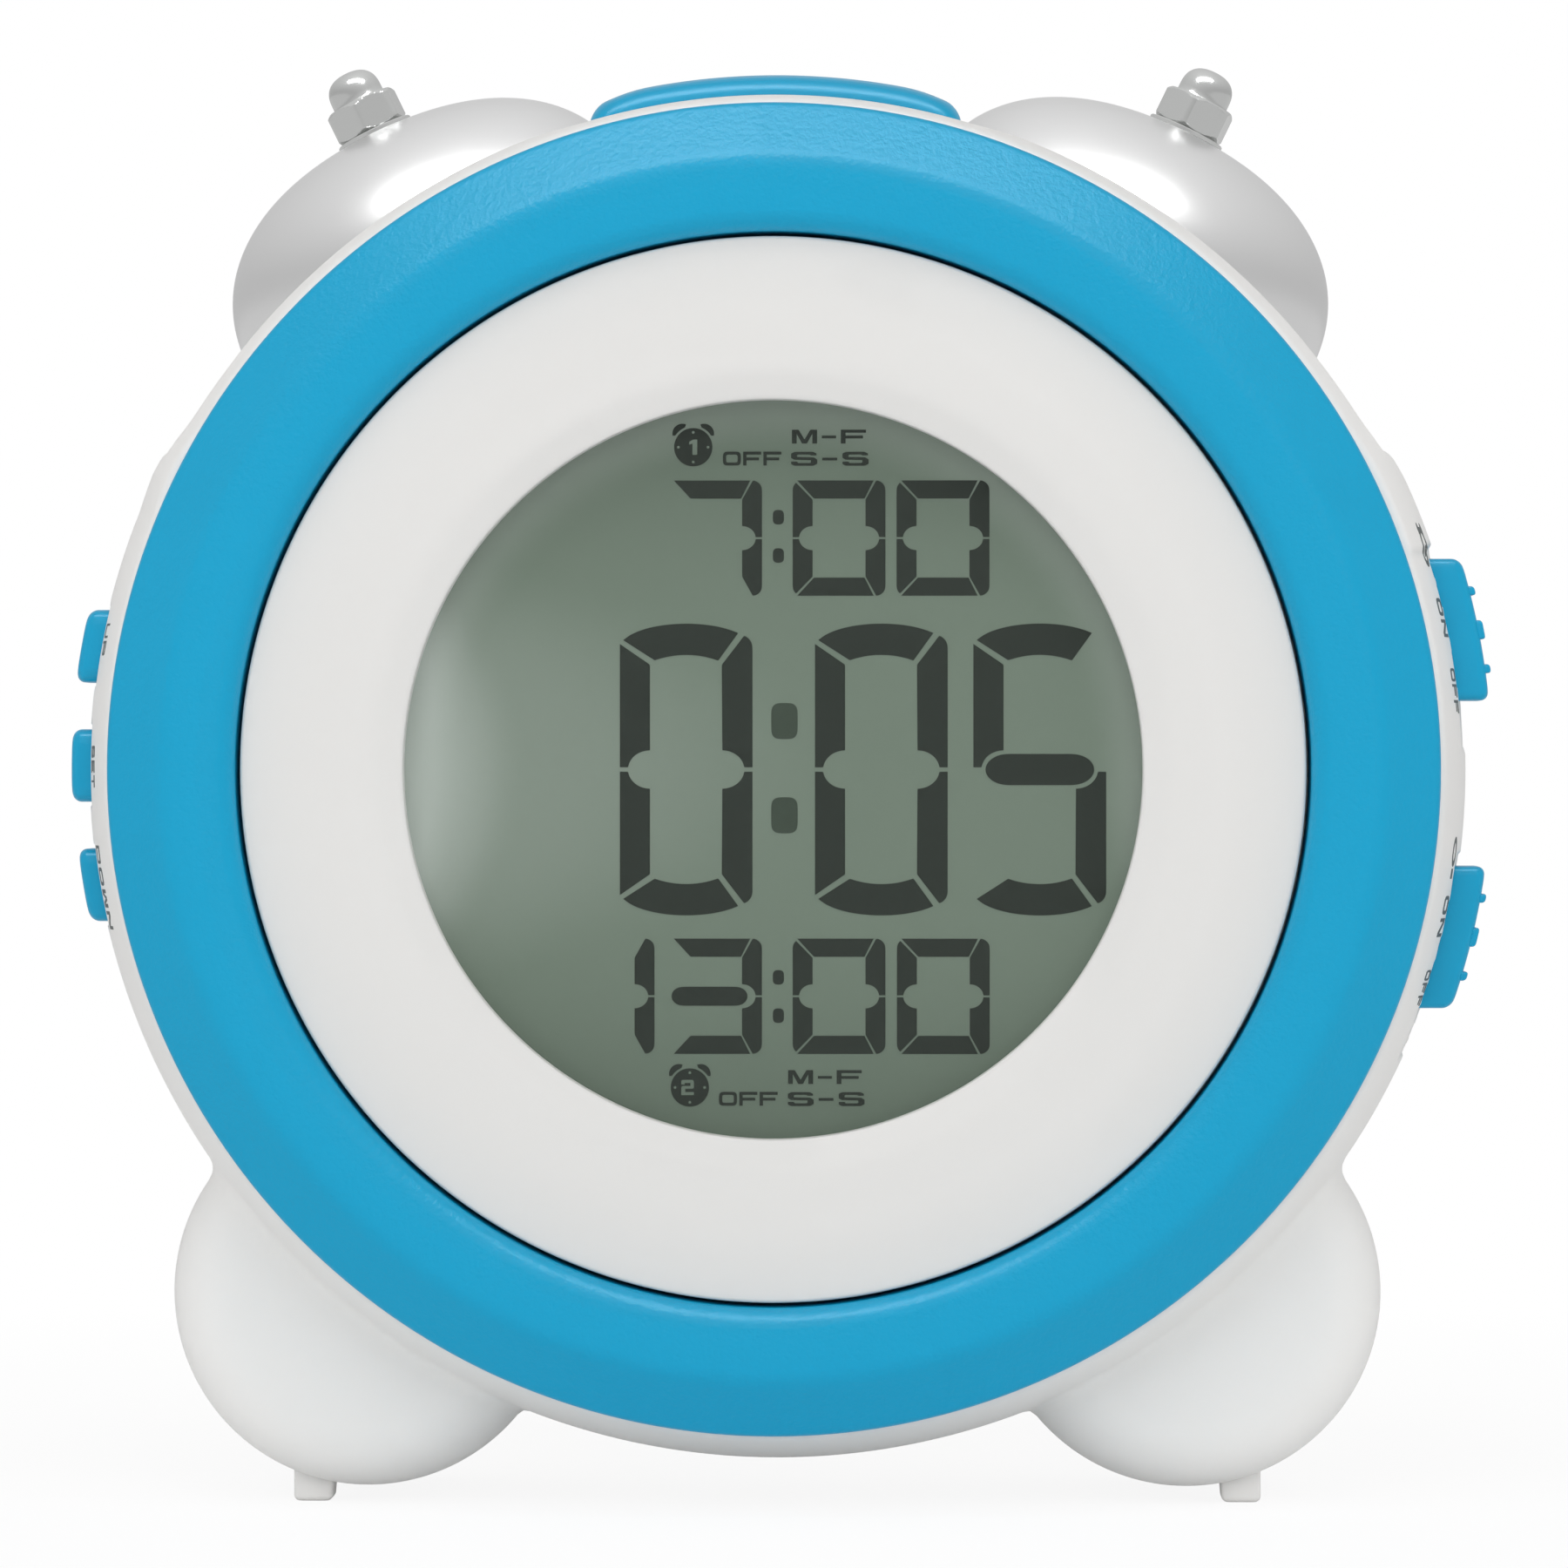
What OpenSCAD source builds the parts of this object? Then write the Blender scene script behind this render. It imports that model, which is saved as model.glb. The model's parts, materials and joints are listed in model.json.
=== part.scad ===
// Kids alarm clock with a ring night light and two bells.
// +X is the viewer's right, the display faces -Y, +Z is up, and it stands on z = 0.
// Inside dial(), x is right, y is up, and depths are measured back from the bezel's crest.

/* [Case] */
// Front-to-back depth of the whole clock
case_depth = 66; // [62:1:80]
// Largest radius of the case
case_r = 69.6; // [69:0.2:74]
// Depth at which the case is widest
widest_t = 26; // [24:0.5:28]
// Depth of the case's front face
face_t = 8.5; // [8:0.1:9.5]
// How far the case narrows to its front face
face_inset = 3.1; // [2.2:0.1:3.2]
// How far the case narrows to its flat back
back_inset = 19.6; // [14:0.2:20]
// Depth at which the front and rear shells meet
split_t = 30; // [29:0.5:32]
// Wall thickness of the shells
wall = 2.2; // [1.8:0.1:2.6]
// How far the case drops behind its rim, under the bells
saddle_drop = 14.6; // [14.2:0.1:15.2]
// Depth at which the rim ends under the bells
rim_t = 15.6; // [15.5:0.1:16.4]
// How far the rim drops between the shoulders
rim_drop = 2.1; // [1.8:0.1:2.4]
// Angle of each shoulder above the horizontal
shoulder = 28; // [26:1:30]

/* [Bezel and ring face] */
// Width of the white edge left round the bezel
bezel_margin = 0.35; // [0.2:0.05:1]
// Width of the bezel
bezel_w = 13.65; // [13:0.05:14]
// Radius of the bezel's outer roundover
bezel_round = 7.6; // [6:0.1:8]
// Radius of the bezel's inner edge
bezel_lip = 2; // [1:0.1:3]
// Thickness of the bezel's skin
bezel_skin = 2.2; // [1.6:0.1:2.6]
// Gap between the bezel and the ring face
ring_gap = 0.8; // [0.4:0.1:1]
// Width of the ring face
ring_w = 15.2; // [14.6:0.1:16]
// Depth of the ring face's outer edge
ring_t = 2.2; // [1.5:0.1:2.6]
// Width of the dip down to the display
ring_dip_w = 2.9; // [2.5:0.1:4]
// Depth of the ring face at the display
ring_in_t = 4.1; // [3.4:0.1:4.4]
// Thickness of the ring face
ring_skin = 1.6; // [1.4:0.1:1.8]

/* [Display] */
// Thickness of the clear window
window_th = 1.2; // [1:0.1:1.5]
// Thickness of each sheet of display glass
glass_th = 1.1; // [0.9:0.1:1.2]
// Length of the elastomer contact strips
zebra_w = 16; // [12:1:17]

/* [Boards] */
// Thickness of every circuit board
board_th = 1.2; // [0.8:0.1:1.4]
// Number of night light LEDs
led_count = 8; // [6:1:12]
// Radius of one night light LED
led_r = 1.5; // [1.2:0.1:2]
// Side of a tact switch's body
tact_w = 6; // [5:0.5:6.5]
// Height of a tact switch's body
tact_h = 3.5; // [3:0.1:3.6]
// Radius of a tact switch's plunger
plunger_r = 1.7; // [1.2:0.1:2]
// Height of a tact switch's plunger
plunger_h = 1; // [0.6:0.1:1.2]

/* [Top button] */
// Width of the top button
top_w = 37.2; // [34:0.2:37.6]
// How far the top button stands out of its turret
top_proud = 2.2; // [1.6:0.1:3]
// Depth of the top button's front edge
top_t = 14.3; // [14:0.1:14.6]
// Front-to-back size of the top button
top_d = 8.6; // [8:0.1:8.8]
// Travel of the top button
top_travel = 1.2; // [0.8:0.1:1.2]
// Width of the button's turret at its roof
turret_w = 40.8; // [40.6:0.2:41.4]
// Width of the button's turret at its foot
turret_foot_w = 26; // [25:0.5:26.5]
// Depth of the turret's rear wall
turret_t = 26; // [26:0.1:26.4]

/* [Side buttons] */
// Height of one side button
side_h = 7.3; // [6:0.1:8]
// Front-to-back size of one side button
side_d = 8; // [7:0.1:8.4]
// Spacing of the side buttons
side_pitch = 12; // [11.5:0.1:12.4]
// Height of the middle side button above the dial centre
side_lift = 0.4; // [0:0.1:1]
// How far the side buttons stand out of the case
side_proud = 1.3; // [1:0.1:1.8]
// Depth of the side buttons' middle
side_t = 22; // [21.5:0.1:22.5]
// Travel of a side button
side_travel = 1; // [0.6:0.1:1]

/* [Slide knobs] */
// Height of one slide knob
knob_h = 14.2; // [13:0.1:15]
// Front-to-back size of one slide knob
knob_d = 9; // [8:0.1:9.4]
// How far the knobs stand out of the case
knob_proud = 2; // [1.8:0.1:2.4]
// Height of the ribs on the knobs
rib_h = 0.6; // [0.3:0.1:0.9]
// Height of the upper knob above the dial centre
upper_y = 14; // [13.5:0.1:14.2]
// Distance of the lower knob below the dial centre
lower_y = 16.8; // [15:0.1:18]
// Travel of a slide knob
slide_travel = 3.5; // [2:0.5:4]

/* [Bells] */
// Radius of a bell at its mouth
bell_r = 22.3; // [21:0.1:22.6]
// Height of a bell's dome
bell_h = 16.4; // [15:0.1:17]
// Height of a bell's straight rim
bell_rim = 3.6; // [3:0.1:4]
// Thickness of a bell's metal
bell_skin = 0.8; // [0.6:0.1:1]
// Tilt of each bell from vertical
bell_tilt = 26; // [24:0.5:27]
// Height of a bell's mouth above the case
bell_lift = 2.06; // [2:0.01:3]
// Distance of a bell's axis from the dial axis
bell_aside = 8.8; // [8.6:0.1:9.4]
// Depth of the bells' axes
bell_t = 40; // [40:0.5:41]
// Width across the flats of an acorn nut
nut_w = 7; // [7:0.5:8]
// Height of an acorn nut's hexagon
nut_hex_h = 3.3; // [3:0.1:3.6]
// Height of a whole acorn nut
nut_h = 7.1; // [6.8:0.1:8]
// Radius of the bell bolts
bolt_r = 2; // [1.5:0.1:2]
// Radius of the washers
washer_r = 4.4; // [4:0.1:5]
// Thickness of the washers
washer_th = 0.5; // [0.4:0.1:0.8]

/* [Feet] */
// Radius of a foot bulb
bulb_r = 19.6; // [18.6:0.1:20]
// Depth of the middle of a foot bulb inside the case's outline
bulb_inset = 2.8; // [2.6:0.1:3.4]
// Angle of the feet below the horizontal
bulb_angle = 51.9; // [51:0.1:53]
// Depth of a foot bulb's front
bulb_t = 17; // [16:0.5:18]
// Front-to-back size of a foot bulb
bulb_d = 39; // [37:0.5:40]
// Radius of a foot bulb's rounded ends
bulb_round = 9; // [8:0.5:10]
// Distance of the pegs outwards from the middle of their bulb
peg_aside = 5.6; // [4:0.1:7]
// How far the pegs stand below the bulbs
peg_drop = 1.7; // [1.2:0.1:4]
// Width of a foot peg
peg_w = 3.9; // [3:0.1:5]
// Front-to-back size of a foot peg
peg_d = 5; // [4:0.5:6]
// Depth of the front pegs' middle
peg_t = 25.5; // [25:0.1:26.5]
// Distance between the front and rear pegs
peg_pitch = 22; // [20:0.5:22.5]

/* [Battery bay and speaker] */
// Radius of an AA cell
cell_r = 7.1; // [6.5:0.05:7.2]
// Length of an AA cell
cell_l = 50.5; // [49.5:0.1:50.5]
// Spacing of the cells
cell_pitch = 14.9; // [14.6:0.1:15]
// Height of the middle cell relative to the dial centre
bay_y = -14; // [-14:0.5:-12]
// Room for the springs at the end of the cells
spring_l = 6; // [5:0.1:6.4]
// Thickness of the battery door
door_th = 1.9; // [1.5:0.1:2]
// Radius of the speaker
speaker_r = 14.5; // [13:0.1:14.5]
// Height of the speaker above the dial centre
speaker_y = 29; // [28.5:0.5:30]
// Radius of one sound hole
sound_r = 0.9; // [0.6:0.1:1.1]

/* [Screws and clearances] */
// Radius of the case screws' shanks
screw_r = 1.3; // [1:0.1:1.5]
// Clearance round moving pieces
gap = 0.3; // [0.2:0.05:0.35]
// Clearance round fixed pieces
fit = 0.1; // [0.05:0.05:0.15]

/* [Hidden] */
$fn = 64;

WHITE = "white";
BLUE = "deepskyblue";
STEEL = "silver";
GREEN = "seagreen";
BLACK = "dimgray";

// How far a cut reaches past what it cuts, and a distance well outside the clock.
over = 1;
far = 2 * case_r;

// Radii about the dial axis, from the outside in.
face_r = case_r - face_inset;
back_r = case_r - back_inset;
saddle_r = case_r - saddle_drop;
top_rim_r = case_r - rim_drop;
bezel_r = face_r - bezel_margin;
bezel_hole_r = bezel_r - bezel_w;
ring_r = bezel_hole_r - ring_gap;
view_r = ring_r - ring_w;
ring_dip_r = view_r + ring_dip_w;

// The feet stand on pegs under two bulbs.
bulb_ring_r = case_r - bulb_inset;
bulb_x = bulb_ring_r * cos(bulb_angle);
bulb_drop = bulb_ring_r * sin(bulb_angle);
peg_x = bulb_x + peg_aside;
dial_h = bulb_drop + bulb_r + peg_drop;

// The case is a barrel: one arc in front of its widest depth, and one behind.
front_rise = case_r - face_r;
front_run = widest_t - face_t;
front_arc = (front_run * front_run + front_rise * front_rise) / (2 * front_rise);
back_rise = case_r - back_r;
back_run = case_depth - widest_t;
back_arc = (back_run * back_run + back_rise * back_rise) / (2 * back_rise);
// Radius of the case at depth t, in front of its widest depth.
function barrel_r(t, inset = 0) =
    case_r - front_arc + sqrt(pow(front_arc - inset, 2) - pow(widest_t - t, 2));

// Depths of the stack behind the ring face.
plate_t = face_t + wall;
flange_th = 1.2;
board_t = plate_t + flange_th;
board_back = board_t + board_th;
dip_t = ring_t + 0.4;
ring_edge = 0.6;
window_t = ring_in_t + ring_skin / 2;
window_back = window_t + window_th;
window_r = view_r + 1.6;
glass_t = window_back + fit;
glass_mid = glass_t + glass_th;
guide_t = glass_mid + glass_th + fit;
glass_r = view_r + 3.5;
seat_r = view_r + 0.5;
holder_r = glass_r + 2;
zebra_y = glass_r - 2;
zebra_d = 1.8;
led_chip_w = 2.4;
led_chip_h = 4;
ring_bore = ring_r - ring_skin;
flange_r = ring_r + 3;
collar_r = flange_r + fit;
collar_th = 1.3;
board_r = collar_r + collar_th - fit;
reflector_th = 0.8;
led_body_h = 2.9;
led_ring_r = (holder_r + ring_bore) / 2;

// What stands on the back of the main board.
chip_w = 12;
chip_th = 1.6;
chip_y = 6;
driver_w = 5;
driver_h = 4;
driver_x = -18;
driver_y = -8;
crystal_r = 1.5;
crystal_l = 6;
crystal_y = -5;
can_xs = [-12, 16];
can_y = -18;
can_r = 3.1;
can_l = 7;
socket_xs = [-30, 0, 30];
socket_y = 26;
socket_w = 8;
socket_h = 4.6;
socket_l = 5;

// Screws: their bosses, heads and seats.
ear_r = 3.4;
ear_angles = [5, 175, 270];
small_screw_r = 0.9;
small_head_r = 1.9;
small_head_h = 1.4;
thread_slack = 0.05;
boss_r = screw_r + 2.2;
tube_r = screw_r + 2.9;
boss_gap = 0.5;
screw_ring_r = board_r + boss_gap + boss_r;
ear_ring_r = screw_ring_r;
screw_seat_t = split_t + 6;
screw_l = 14;
head_r = 2.6;
head_h = 1.8;

// The top button, its turret and its switches.
turret_r = top_rim_r - 0.1;
top_r = turret_r + top_proud;
turret_knee_y = turret_r - 5.4;
turret_foot_y = saddle_r - wall - 2;
top_board_w = 26.6;
top_switch_x = 8;
top_board_t = 14;
turret_in_t = turret_t - wall;
top_stem_w = 4;
top_core_w = 24;
top_skirt_r = turret_r - 1;
top_lip_r = turret_r - wall - gap;
top_core_r = top_lip_r - 1.5;
top_stem_l = 1.2;
top_stem_end = top_core_r - top_stem_l;
top_board_top = top_stem_end - fit - top_travel - plunger_h - tact_h;
top_board_y = top_board_top - board_th;
ledge_w = 4;
ledge_h = 2.6;
lip = 1.1;

// Rails that hold the side boards: they run in from the wall, past the board.
rail_past = 1.5;
rail_h = 3;
rail_lap = 0.5;
rail_t = 16;

// The side buttons and their switches, counted outwards from the board's face.
side_offsets = [side_lift + side_pitch, side_lift, side_lift - side_pitch];
side_r = case_r + side_proud;
side_flange_r = barrel_r(side_t - side_d / 2 - lip, wall) - gap;
side_flange_th = 1.2;
side_stem_w = 3;
side_stem_l = 5.4;
side_stem_end = side_flange_r - side_flange_th - side_stem_l;
side_board_x = side_stem_end - fit - side_travel - plunger_h - tact_h;
side_board_h = 2 * side_pitch + side_h + 2 * (lip + rail_lap + gap);
side_board_t = 16.8;
wall_cut_x = side_flange_r - 3;

// The slide knobs and their switches.
neck_h = 6;
neck_d = 4;
neck_l = 8.6;
neck_in = case_r - neck_l;
knob_r = case_r + knob_proud;
lever_h = 2;
lever_d = 1.8;
lever_hold = 1.5;
lever_l = 2.6;
can_top = neck_in + lever_hold - lever_l - gap;
can_depth = 4;
can_h = 10;
can_d = 6;
slide_board_x = can_top - can_depth;
slide_mid_y = (upper_y - lower_y - slide_travel) / 2;
slide_board_h = upper_y + lower_y + can_h + 2;
rib_w = 1.5;
rib_pitch = 3.9;

// The upper screws sit just above the slide switches' board.
upper_screw_y = slide_mid_y + slide_board_h / 2 + boss_gap + boss_r;
upper_screw_a = asin(upper_screw_y / screw_ring_r);
screw_angles = [upper_screw_a, 180 - upper_screw_a, 222, 318];

// The bells. Along a bell's axis, d runs down from its top.
mouth_d = bell_h + bell_rim;
bell_flare = 0.3;
post_r = 4.6;
bell_power = 2.3;
// How far a dome of radius r and height h has dropped at angle a round its profile.
function dome_r(r, a) = r * pow(sin(a), 2 / bell_power);
function dome_drop(h, a) = h * (1 - pow(cos(a), 2 / bell_power));
// The angle at which a dome of radius r reaches radius x.
function dome_angle(r, x) = asin(pow(x / r, bell_power / 2));
seat_d = dome_drop(bell_h, dome_angle(bell_r, post_r));
post_d = bell_skin + dome_drop(bell_h - bell_skin, dome_angle(bell_r - bell_skin, post_r));
bell_along = saddle_r + bell_lift + mouth_d;
bell_x = bell_along * sin(bell_tilt) + bell_aside * cos(bell_tilt);
bell_y = bell_along * cos(bell_tilt) - bell_aside * sin(bell_tilt);
saddle_d = bell_along - sqrt(pow(saddle_r, 2) - pow(bell_aside, 2));
pad_d = saddle_d + 4.4;
pad_r = 5.6;
bolt_end = nut_hex_h + 0.8;
bolt_head_r = 3.5;
bolt_head_h = 2.6;
nut_dome_r = 0.41 * nut_w;
nut_corner_r = nut_w / 2 / cos(30);

// A foot peg is let this far into its bulb.
peg_sink = 0.9;

// The battery bay opens at the back.
bay_wall = 1.5;
bay_w = cell_l + spring_l + 1;
bay_h = 3 * cell_pitch + 0.6;
door_rim = 1.4;
door_t = case_depth - door_th;
cell_t = door_t - gap - cell_r - 0.2;
bay_t = cell_t - cell_r - 0.3;
plate_th = 0.4;
contact_w = 10;
nub_r = 2.7;
nub_l = 1;
wire_r = 0.4;
spring_r = 4.2;
spring_turns = 4;
tab_w = 8;
tab_l = 3;
tab_th = 1.2;
notch_r = 5;

// The speaker sits against the flat back, facing out.
back_in_t = case_depth - wall;
rim_th = 2.2;
rim_w = 1.8;
speaker_seat_t = back_in_t - rim_th;
basket_r = 9;
basket_d = 4;
magnet_r = 8;
magnet_h = 5;
basket_skin = 1;
pole_r = 3;
cone_skin = 0.4;
cone_rise = 2;
cap_rise = 1;
cone_r = speaker_r - rim_w - fit;
cone_ledge = 0.8;
cap_r = 4.5;
retainer_th = 1.2;
speaker_post_x = speaker_r + 4.4;
speaker_post_r = 2.8;
sound_pitch = 3;

// The frame of the dial: x right, y up, z towards the viewer.
module dial() {
    translate([0, -case_depth / 2, dial_h]) rotate([90, 0, 0]) children();
}

// A disc about the dial axis, from depth t0 to depth t1.
module disc(r, t0, t1) {
    translate([0, 0, -t1]) cylinder(r = r, h = t1 - t0);
}

// A ring about the dial axis.
module hoop(r_out, r_in, t0, t1) {
    difference() {
        disc(r_out, t0, t1);
        disc(r_in, t0 - over, t1 + over);
    }
}

// A box centred on (x, y), from depth t0 to depth t1.
module block(w, h, t0, t1, x = 0, y = 0) {
    translate([x - w / 2, y - h / 2, -t1]) cube([w, h, t1 - t0]);
}

module at_angle(a) {
    rotate([0, 0, a]) children();
}

// Half of the case's section, pulled in all round by inset: x is radius, y is minus depth.
module case_section(inset) {
    intersection() {
        translate([0, -widest_t]) square([far, widest_t - face_t - inset]);
        translate([case_r - front_arc, -widest_t]) circle(r = front_arc - inset);
    }
    intersection() {
        translate([0, inset - case_depth]) square([far, case_depth - inset - widest_t]);
        translate([case_r - back_arc, -widest_t]) circle(r = back_arc - inset);
    }
}

// The space between the shoulders that the bells stand in, widened by inset.
module saddle(inset) {
    start = shoulder - atan(inset / saddle_r);
    at_angle(start) rotate_extrude(angle = 180 - 2 * start) {
        translate([saddle_r - inset, -far]) square([far, far - rim_t + inset]);
        translate([top_rim_r - inset, -far]) square([far, 2 * far]);
    }
}

// One foot bulb, pulled in all round by inset.
module bulb(side, inset) {
    r = bulb_r - inset;
    c = bulb_round - inset;
    t0 = bulb_t + inset;
    t1 = bulb_t + bulb_d - inset;
    translate([side * bulb_x, -bulb_drop, 0]) rotate_extrude() {
        translate([0, -t1]) square([r - c, t1 - t0]);
        translate([0, c - t1]) square([r, t1 - t0 - 2 * c]);
        for (t = [t0 + c, t1 - c])
            intersection() {
                translate([r - c, -t]) circle(r = c);
                translate([0, -far]) square([far, 2 * far]);
            }
    }
}

// The turret that holds the top button, pulled in by inset.
module turret(inset) {
    foot = turret_foot_w / 2 - inset;
    half = turret_w / 2 - inset;
    front = face_t + max(inset, over);
    intersection() {
        translate([0, 0, inset - turret_t])
            linear_extrude(turret_t - inset - front)
                polygon([
                    [-foot, turret_foot_y], [foot, turret_foot_y], [half, turret_knee_y],
                    [half, far], [-half, far], [-half, turret_knee_y]
                ]);
        disc(turret_r - inset, 0, case_depth);
    }
}

// The closed outer form of both shells, pulled in all round by inset.
module case_form(inset) {
    difference() {
        rotate_extrude() case_section(inset);
        saddle(inset);
    }
    for (side = [-1, 1]) bulb(side, inset);
    turret(inset);
}

module case_walls() {
    difference() {
        case_form(0);
        case_form(wall);
    }
}

// Everything in front of the plane where the shells meet, and everything behind it.
module front_half() {
    translate([-far, -far, -split_t]) cube([2 * far, 2 * far, far]);
}

module rear_half() {
    translate([-far, -far, -split_t - far]) cube([2 * far, 2 * far, far]);
}

module screw_places() {
    for (a = screw_angles) at_angle(a) translate([screw_ring_r, 0, 0]) children();
}

module ear_places() {
    for (a = ear_angles) at_angle(a) translate([ear_ring_r, 0, 0]) children();
}

module peg_places() {
    for (side = [-1, 1], t = [peg_t, peg_t + peg_pitch])
        translate([side * peg_x, 0, -t]) children();
}

module peg(clear) {
    reach = peg_x - bulb_x + peg_w / 2;
    top = peg_sink - bulb_drop - sqrt(pow(bulb_r, 2) - pow(reach, 2));
    w = peg_w + 2 * clear;
    d = peg_d + 2 * clear;
    translate([-w / 2, -dial_h, -d / 2]) cube([w, top + dial_h + clear, d]);
}

// A frame whose z axis runs up a bell's axis, with its origin at the bell's top.
module on_bell(side) {
    translate([side * bell_x, bell_y, -bell_t]) rotate([-90, 0, 0])
        rotate([0, side * bell_tilt, 0]) children();
}

// A cylinder on a bell's axis, from d0 to d1 below its top.
module bell_disc(r, d0, d1) {
    translate([0, 0, -d1]) cylinder(r = r, h = d1 - d0);
}

// A board that stands on edge with its outer face at x, and the two rails that hold it.
module side_board(x, h, y, clear = 0) {
    block(board_th + 2 * clear, h + 2 * clear, side_board_t - clear, split_t - gap + clear,
          x - sign(x) * board_th / 2, y);
}

module rails(x, h, y) {
    for (j = [-1, 1])
        intersection() {
            block(far, rail_h, rail_t, split_t, x + sign(x) * (far / 2 - board_th - rail_past),
                  y + j * (h / 2 + rail_h / 2 - rail_lap));
            disc(case_r - wall, 0, split_t);
        }
}

// The slot that a slide knob's neck runs in.
module knob_slot(y) {
    h = neck_h + slide_travel + 2 * gap;
    block(far, h, side_t - neck_d / 2 - gap, side_t + neck_d / 2 + gap,
          neck_in - over + far / 2, y - slide_travel / 2);
}

module front_shell() {
    color(WHITE) dial() difference() {
        union() {
            intersection() {
                case_walls();
                front_half();
            }
            hoop(collar_r + collar_th, collar_r, plate_t - 0.5, board_t);
            screw_places() disc(boss_r, plate_t - 0.5, split_t);
            ear_places() disc(ear_r, plate_t - 0.5, board_t);
            difference() {
                union() {
                    rails(-side_board_x, side_board_h, side_lift);
                    rails(slide_board_x, slide_board_h, slide_mid_y);
                }
                side_board(-side_board_x, side_board_h, side_lift, fit);
                side_board(slide_board_x, slide_board_h, slide_mid_y, fit);
            }
            // Ledges under the top button's board.
            for (i = [-1, 1])
                block(ledge_w, ledge_h, top_board_t, turret_in_t + 0.5,
                      i * (top_board_w - ledge_w + fit) / 2, top_board_y - ledge_h / 2);
        }
        disc(ring_r + gap, 0, plate_t + over);
        screw_places() disc(screw_r + thread_slack, screw_seat_t - screw_l - over, far);
        ear_places() disc(small_screw_r + thread_slack, plate_t, far);
        for (y = side_offsets)
            block(far, side_h + 2 * gap, side_t - side_d / 2 - gap, side_t + side_d / 2 + gap,
                  -wall_cut_x - far / 2, y);
        for (y = [upper_y, -lower_y]) knob_slot(y);
        // The top button's window.
        block(top_w + 2 * gap, far, top_t - gap, top_t + top_d + gap, 0,
              turret_knee_y - 0.5 + far / 2);
        peg_places() peg(fit);
    }
}

module rear_shell() {
    color(WHITE) dial() difference() {
        union() {
            intersection() {
                case_walls();
                rear_half();
            }
            intersection() {
                screw_places() disc(tube_r, split_t, case_depth);
                case_form(wall / 2);
            }
            for (side = [-1, 1])
                on_bell(side) {
                    bell_disc(post_r, post_d, saddle_d + over);
                    bell_disc(pad_r, saddle_d + over, pad_d);
                }
            // Box of the battery bay.
            block(bay_w + 2 * bay_wall, bay_h + 2 * bay_wall, bay_t - bay_wall, back_in_t + over,
                  0, bay_y);
            // Collar and posts of the speaker.
            translate([0, speaker_y, 0]) {
                hoop(speaker_r + fit + 1.2, speaker_r + fit, speaker_seat_t, back_in_t + over);
                for (i = [-1, 1])
                    translate([i * speaker_post_x, 0, 0])
                        disc(speaker_post_r, speaker_seat_t, back_in_t + over);
            }
        }
        screw_places() {
            disc(screw_r + 2 * fit, 0, far);
            disc(head_r + gap, screw_seat_t, far);
        }
        for (side = [-1, 1]) on_bell(side) bell_disc(bolt_r + fit, 0, pad_d + over);
        block(bay_w, bay_h, bay_t, far, 0, bay_y);
        block(bay_w + 2 * door_rim, bay_h + 2 * door_rim, door_t, far, 0, bay_y);
        translate([0, bay_y + bay_h / 2 + door_rim, 0]) disc(notch_r, door_t, far);
        translate([0, speaker_y, 0]) {
            sound_holes();
            for (i = [-1, 1])
                translate([i * speaker_post_x, 0, 0])
                    disc(small_screw_r + thread_slack, 0, back_in_t);
        }
        peg_places() peg(fit);
    }
}

// Rings of sound holes: 1, 6, 12 and so on.
module sound_holes() {
    disc(sound_r, back_in_t - over, far);
    for (k = [1:floor((cone_r - 1) / sound_pitch)], i = [1:6 * k])
        at_angle(i * 60 / k) translate([k * sound_pitch, 0, 0])
            disc(sound_r, back_in_t - over, far);
}

// The bezel's section, pulled in by inset, down to depth bottom.
module bezel_section(inset, bottom) {
    x0 = bezel_hole_r + inset;
    x1 = bezel_r - inset;
    xm = bezel_r - bezel_round;
    edge = max(bezel_lip, inset);
    translate([x0, -bottom]) square([x1 - x0, bottom - bezel_round]);
    translate([x0, -bottom]) square([xm - x0, bottom - edge]);
    translate([bezel_hole_r + edge, -bottom]) square([xm - bezel_hole_r - edge, bottom - inset]);
    intersection() {
        translate([xm, -bezel_round]) circle(r = bezel_round - inset);
        translate([xm - over, -bezel_round]) square([far, far]);
    }
    if (inset < bezel_lip)
        translate([bezel_hole_r + bezel_lip, -bezel_lip]) circle(r = bezel_lip - inset);
}

module front_bezel() {
    color(BLUE) dial() rotate_extrude() difference() {
        bezel_section(0, face_t);
        bezel_section(bezel_skin, face_t + over);
    }
}

module night_light_ring() {
    color("ghostwhite") dial() rotate_extrude() polygon([
        [view_r, -ring_in_t], [ring_dip_r, -dip_t], [ring_r - ring_edge, -ring_t],
        [ring_r, -ring_t - ring_edge], [ring_r, -plate_t], [flange_r, -plate_t],
        [flange_r, -board_t], [ring_bore, -board_t], [ring_bore, -ring_t - ring_skin],
        [glass_r, -dip_t - ring_skin], [glass_r, -window_back], [window_r + fit, -window_back],
        [window_r + fit, -window_t], [view_r, -window_t]
    ]);
}

module display_window() {
    color("lightcyan", 0.4) dial() disc(window_r, window_t, window_back);
}

module lcd_panel() {
    color("darkseagreen") dial() {
        disc(glass_r, glass_t, glass_mid);
        disc(seat_r, glass_mid, glass_mid + glass_th);
    }
}

module light_guide() {
    color("azure", 0.6) dial() disc(seat_r - fit, guide_t, board_t);
}

module backlight_led() {
    color("lightyellow") dial()
        block(led_chip_w, led_chip_h, guide_t, board_t, -seat_r - fit - led_chip_w / 2, 0);
}

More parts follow.
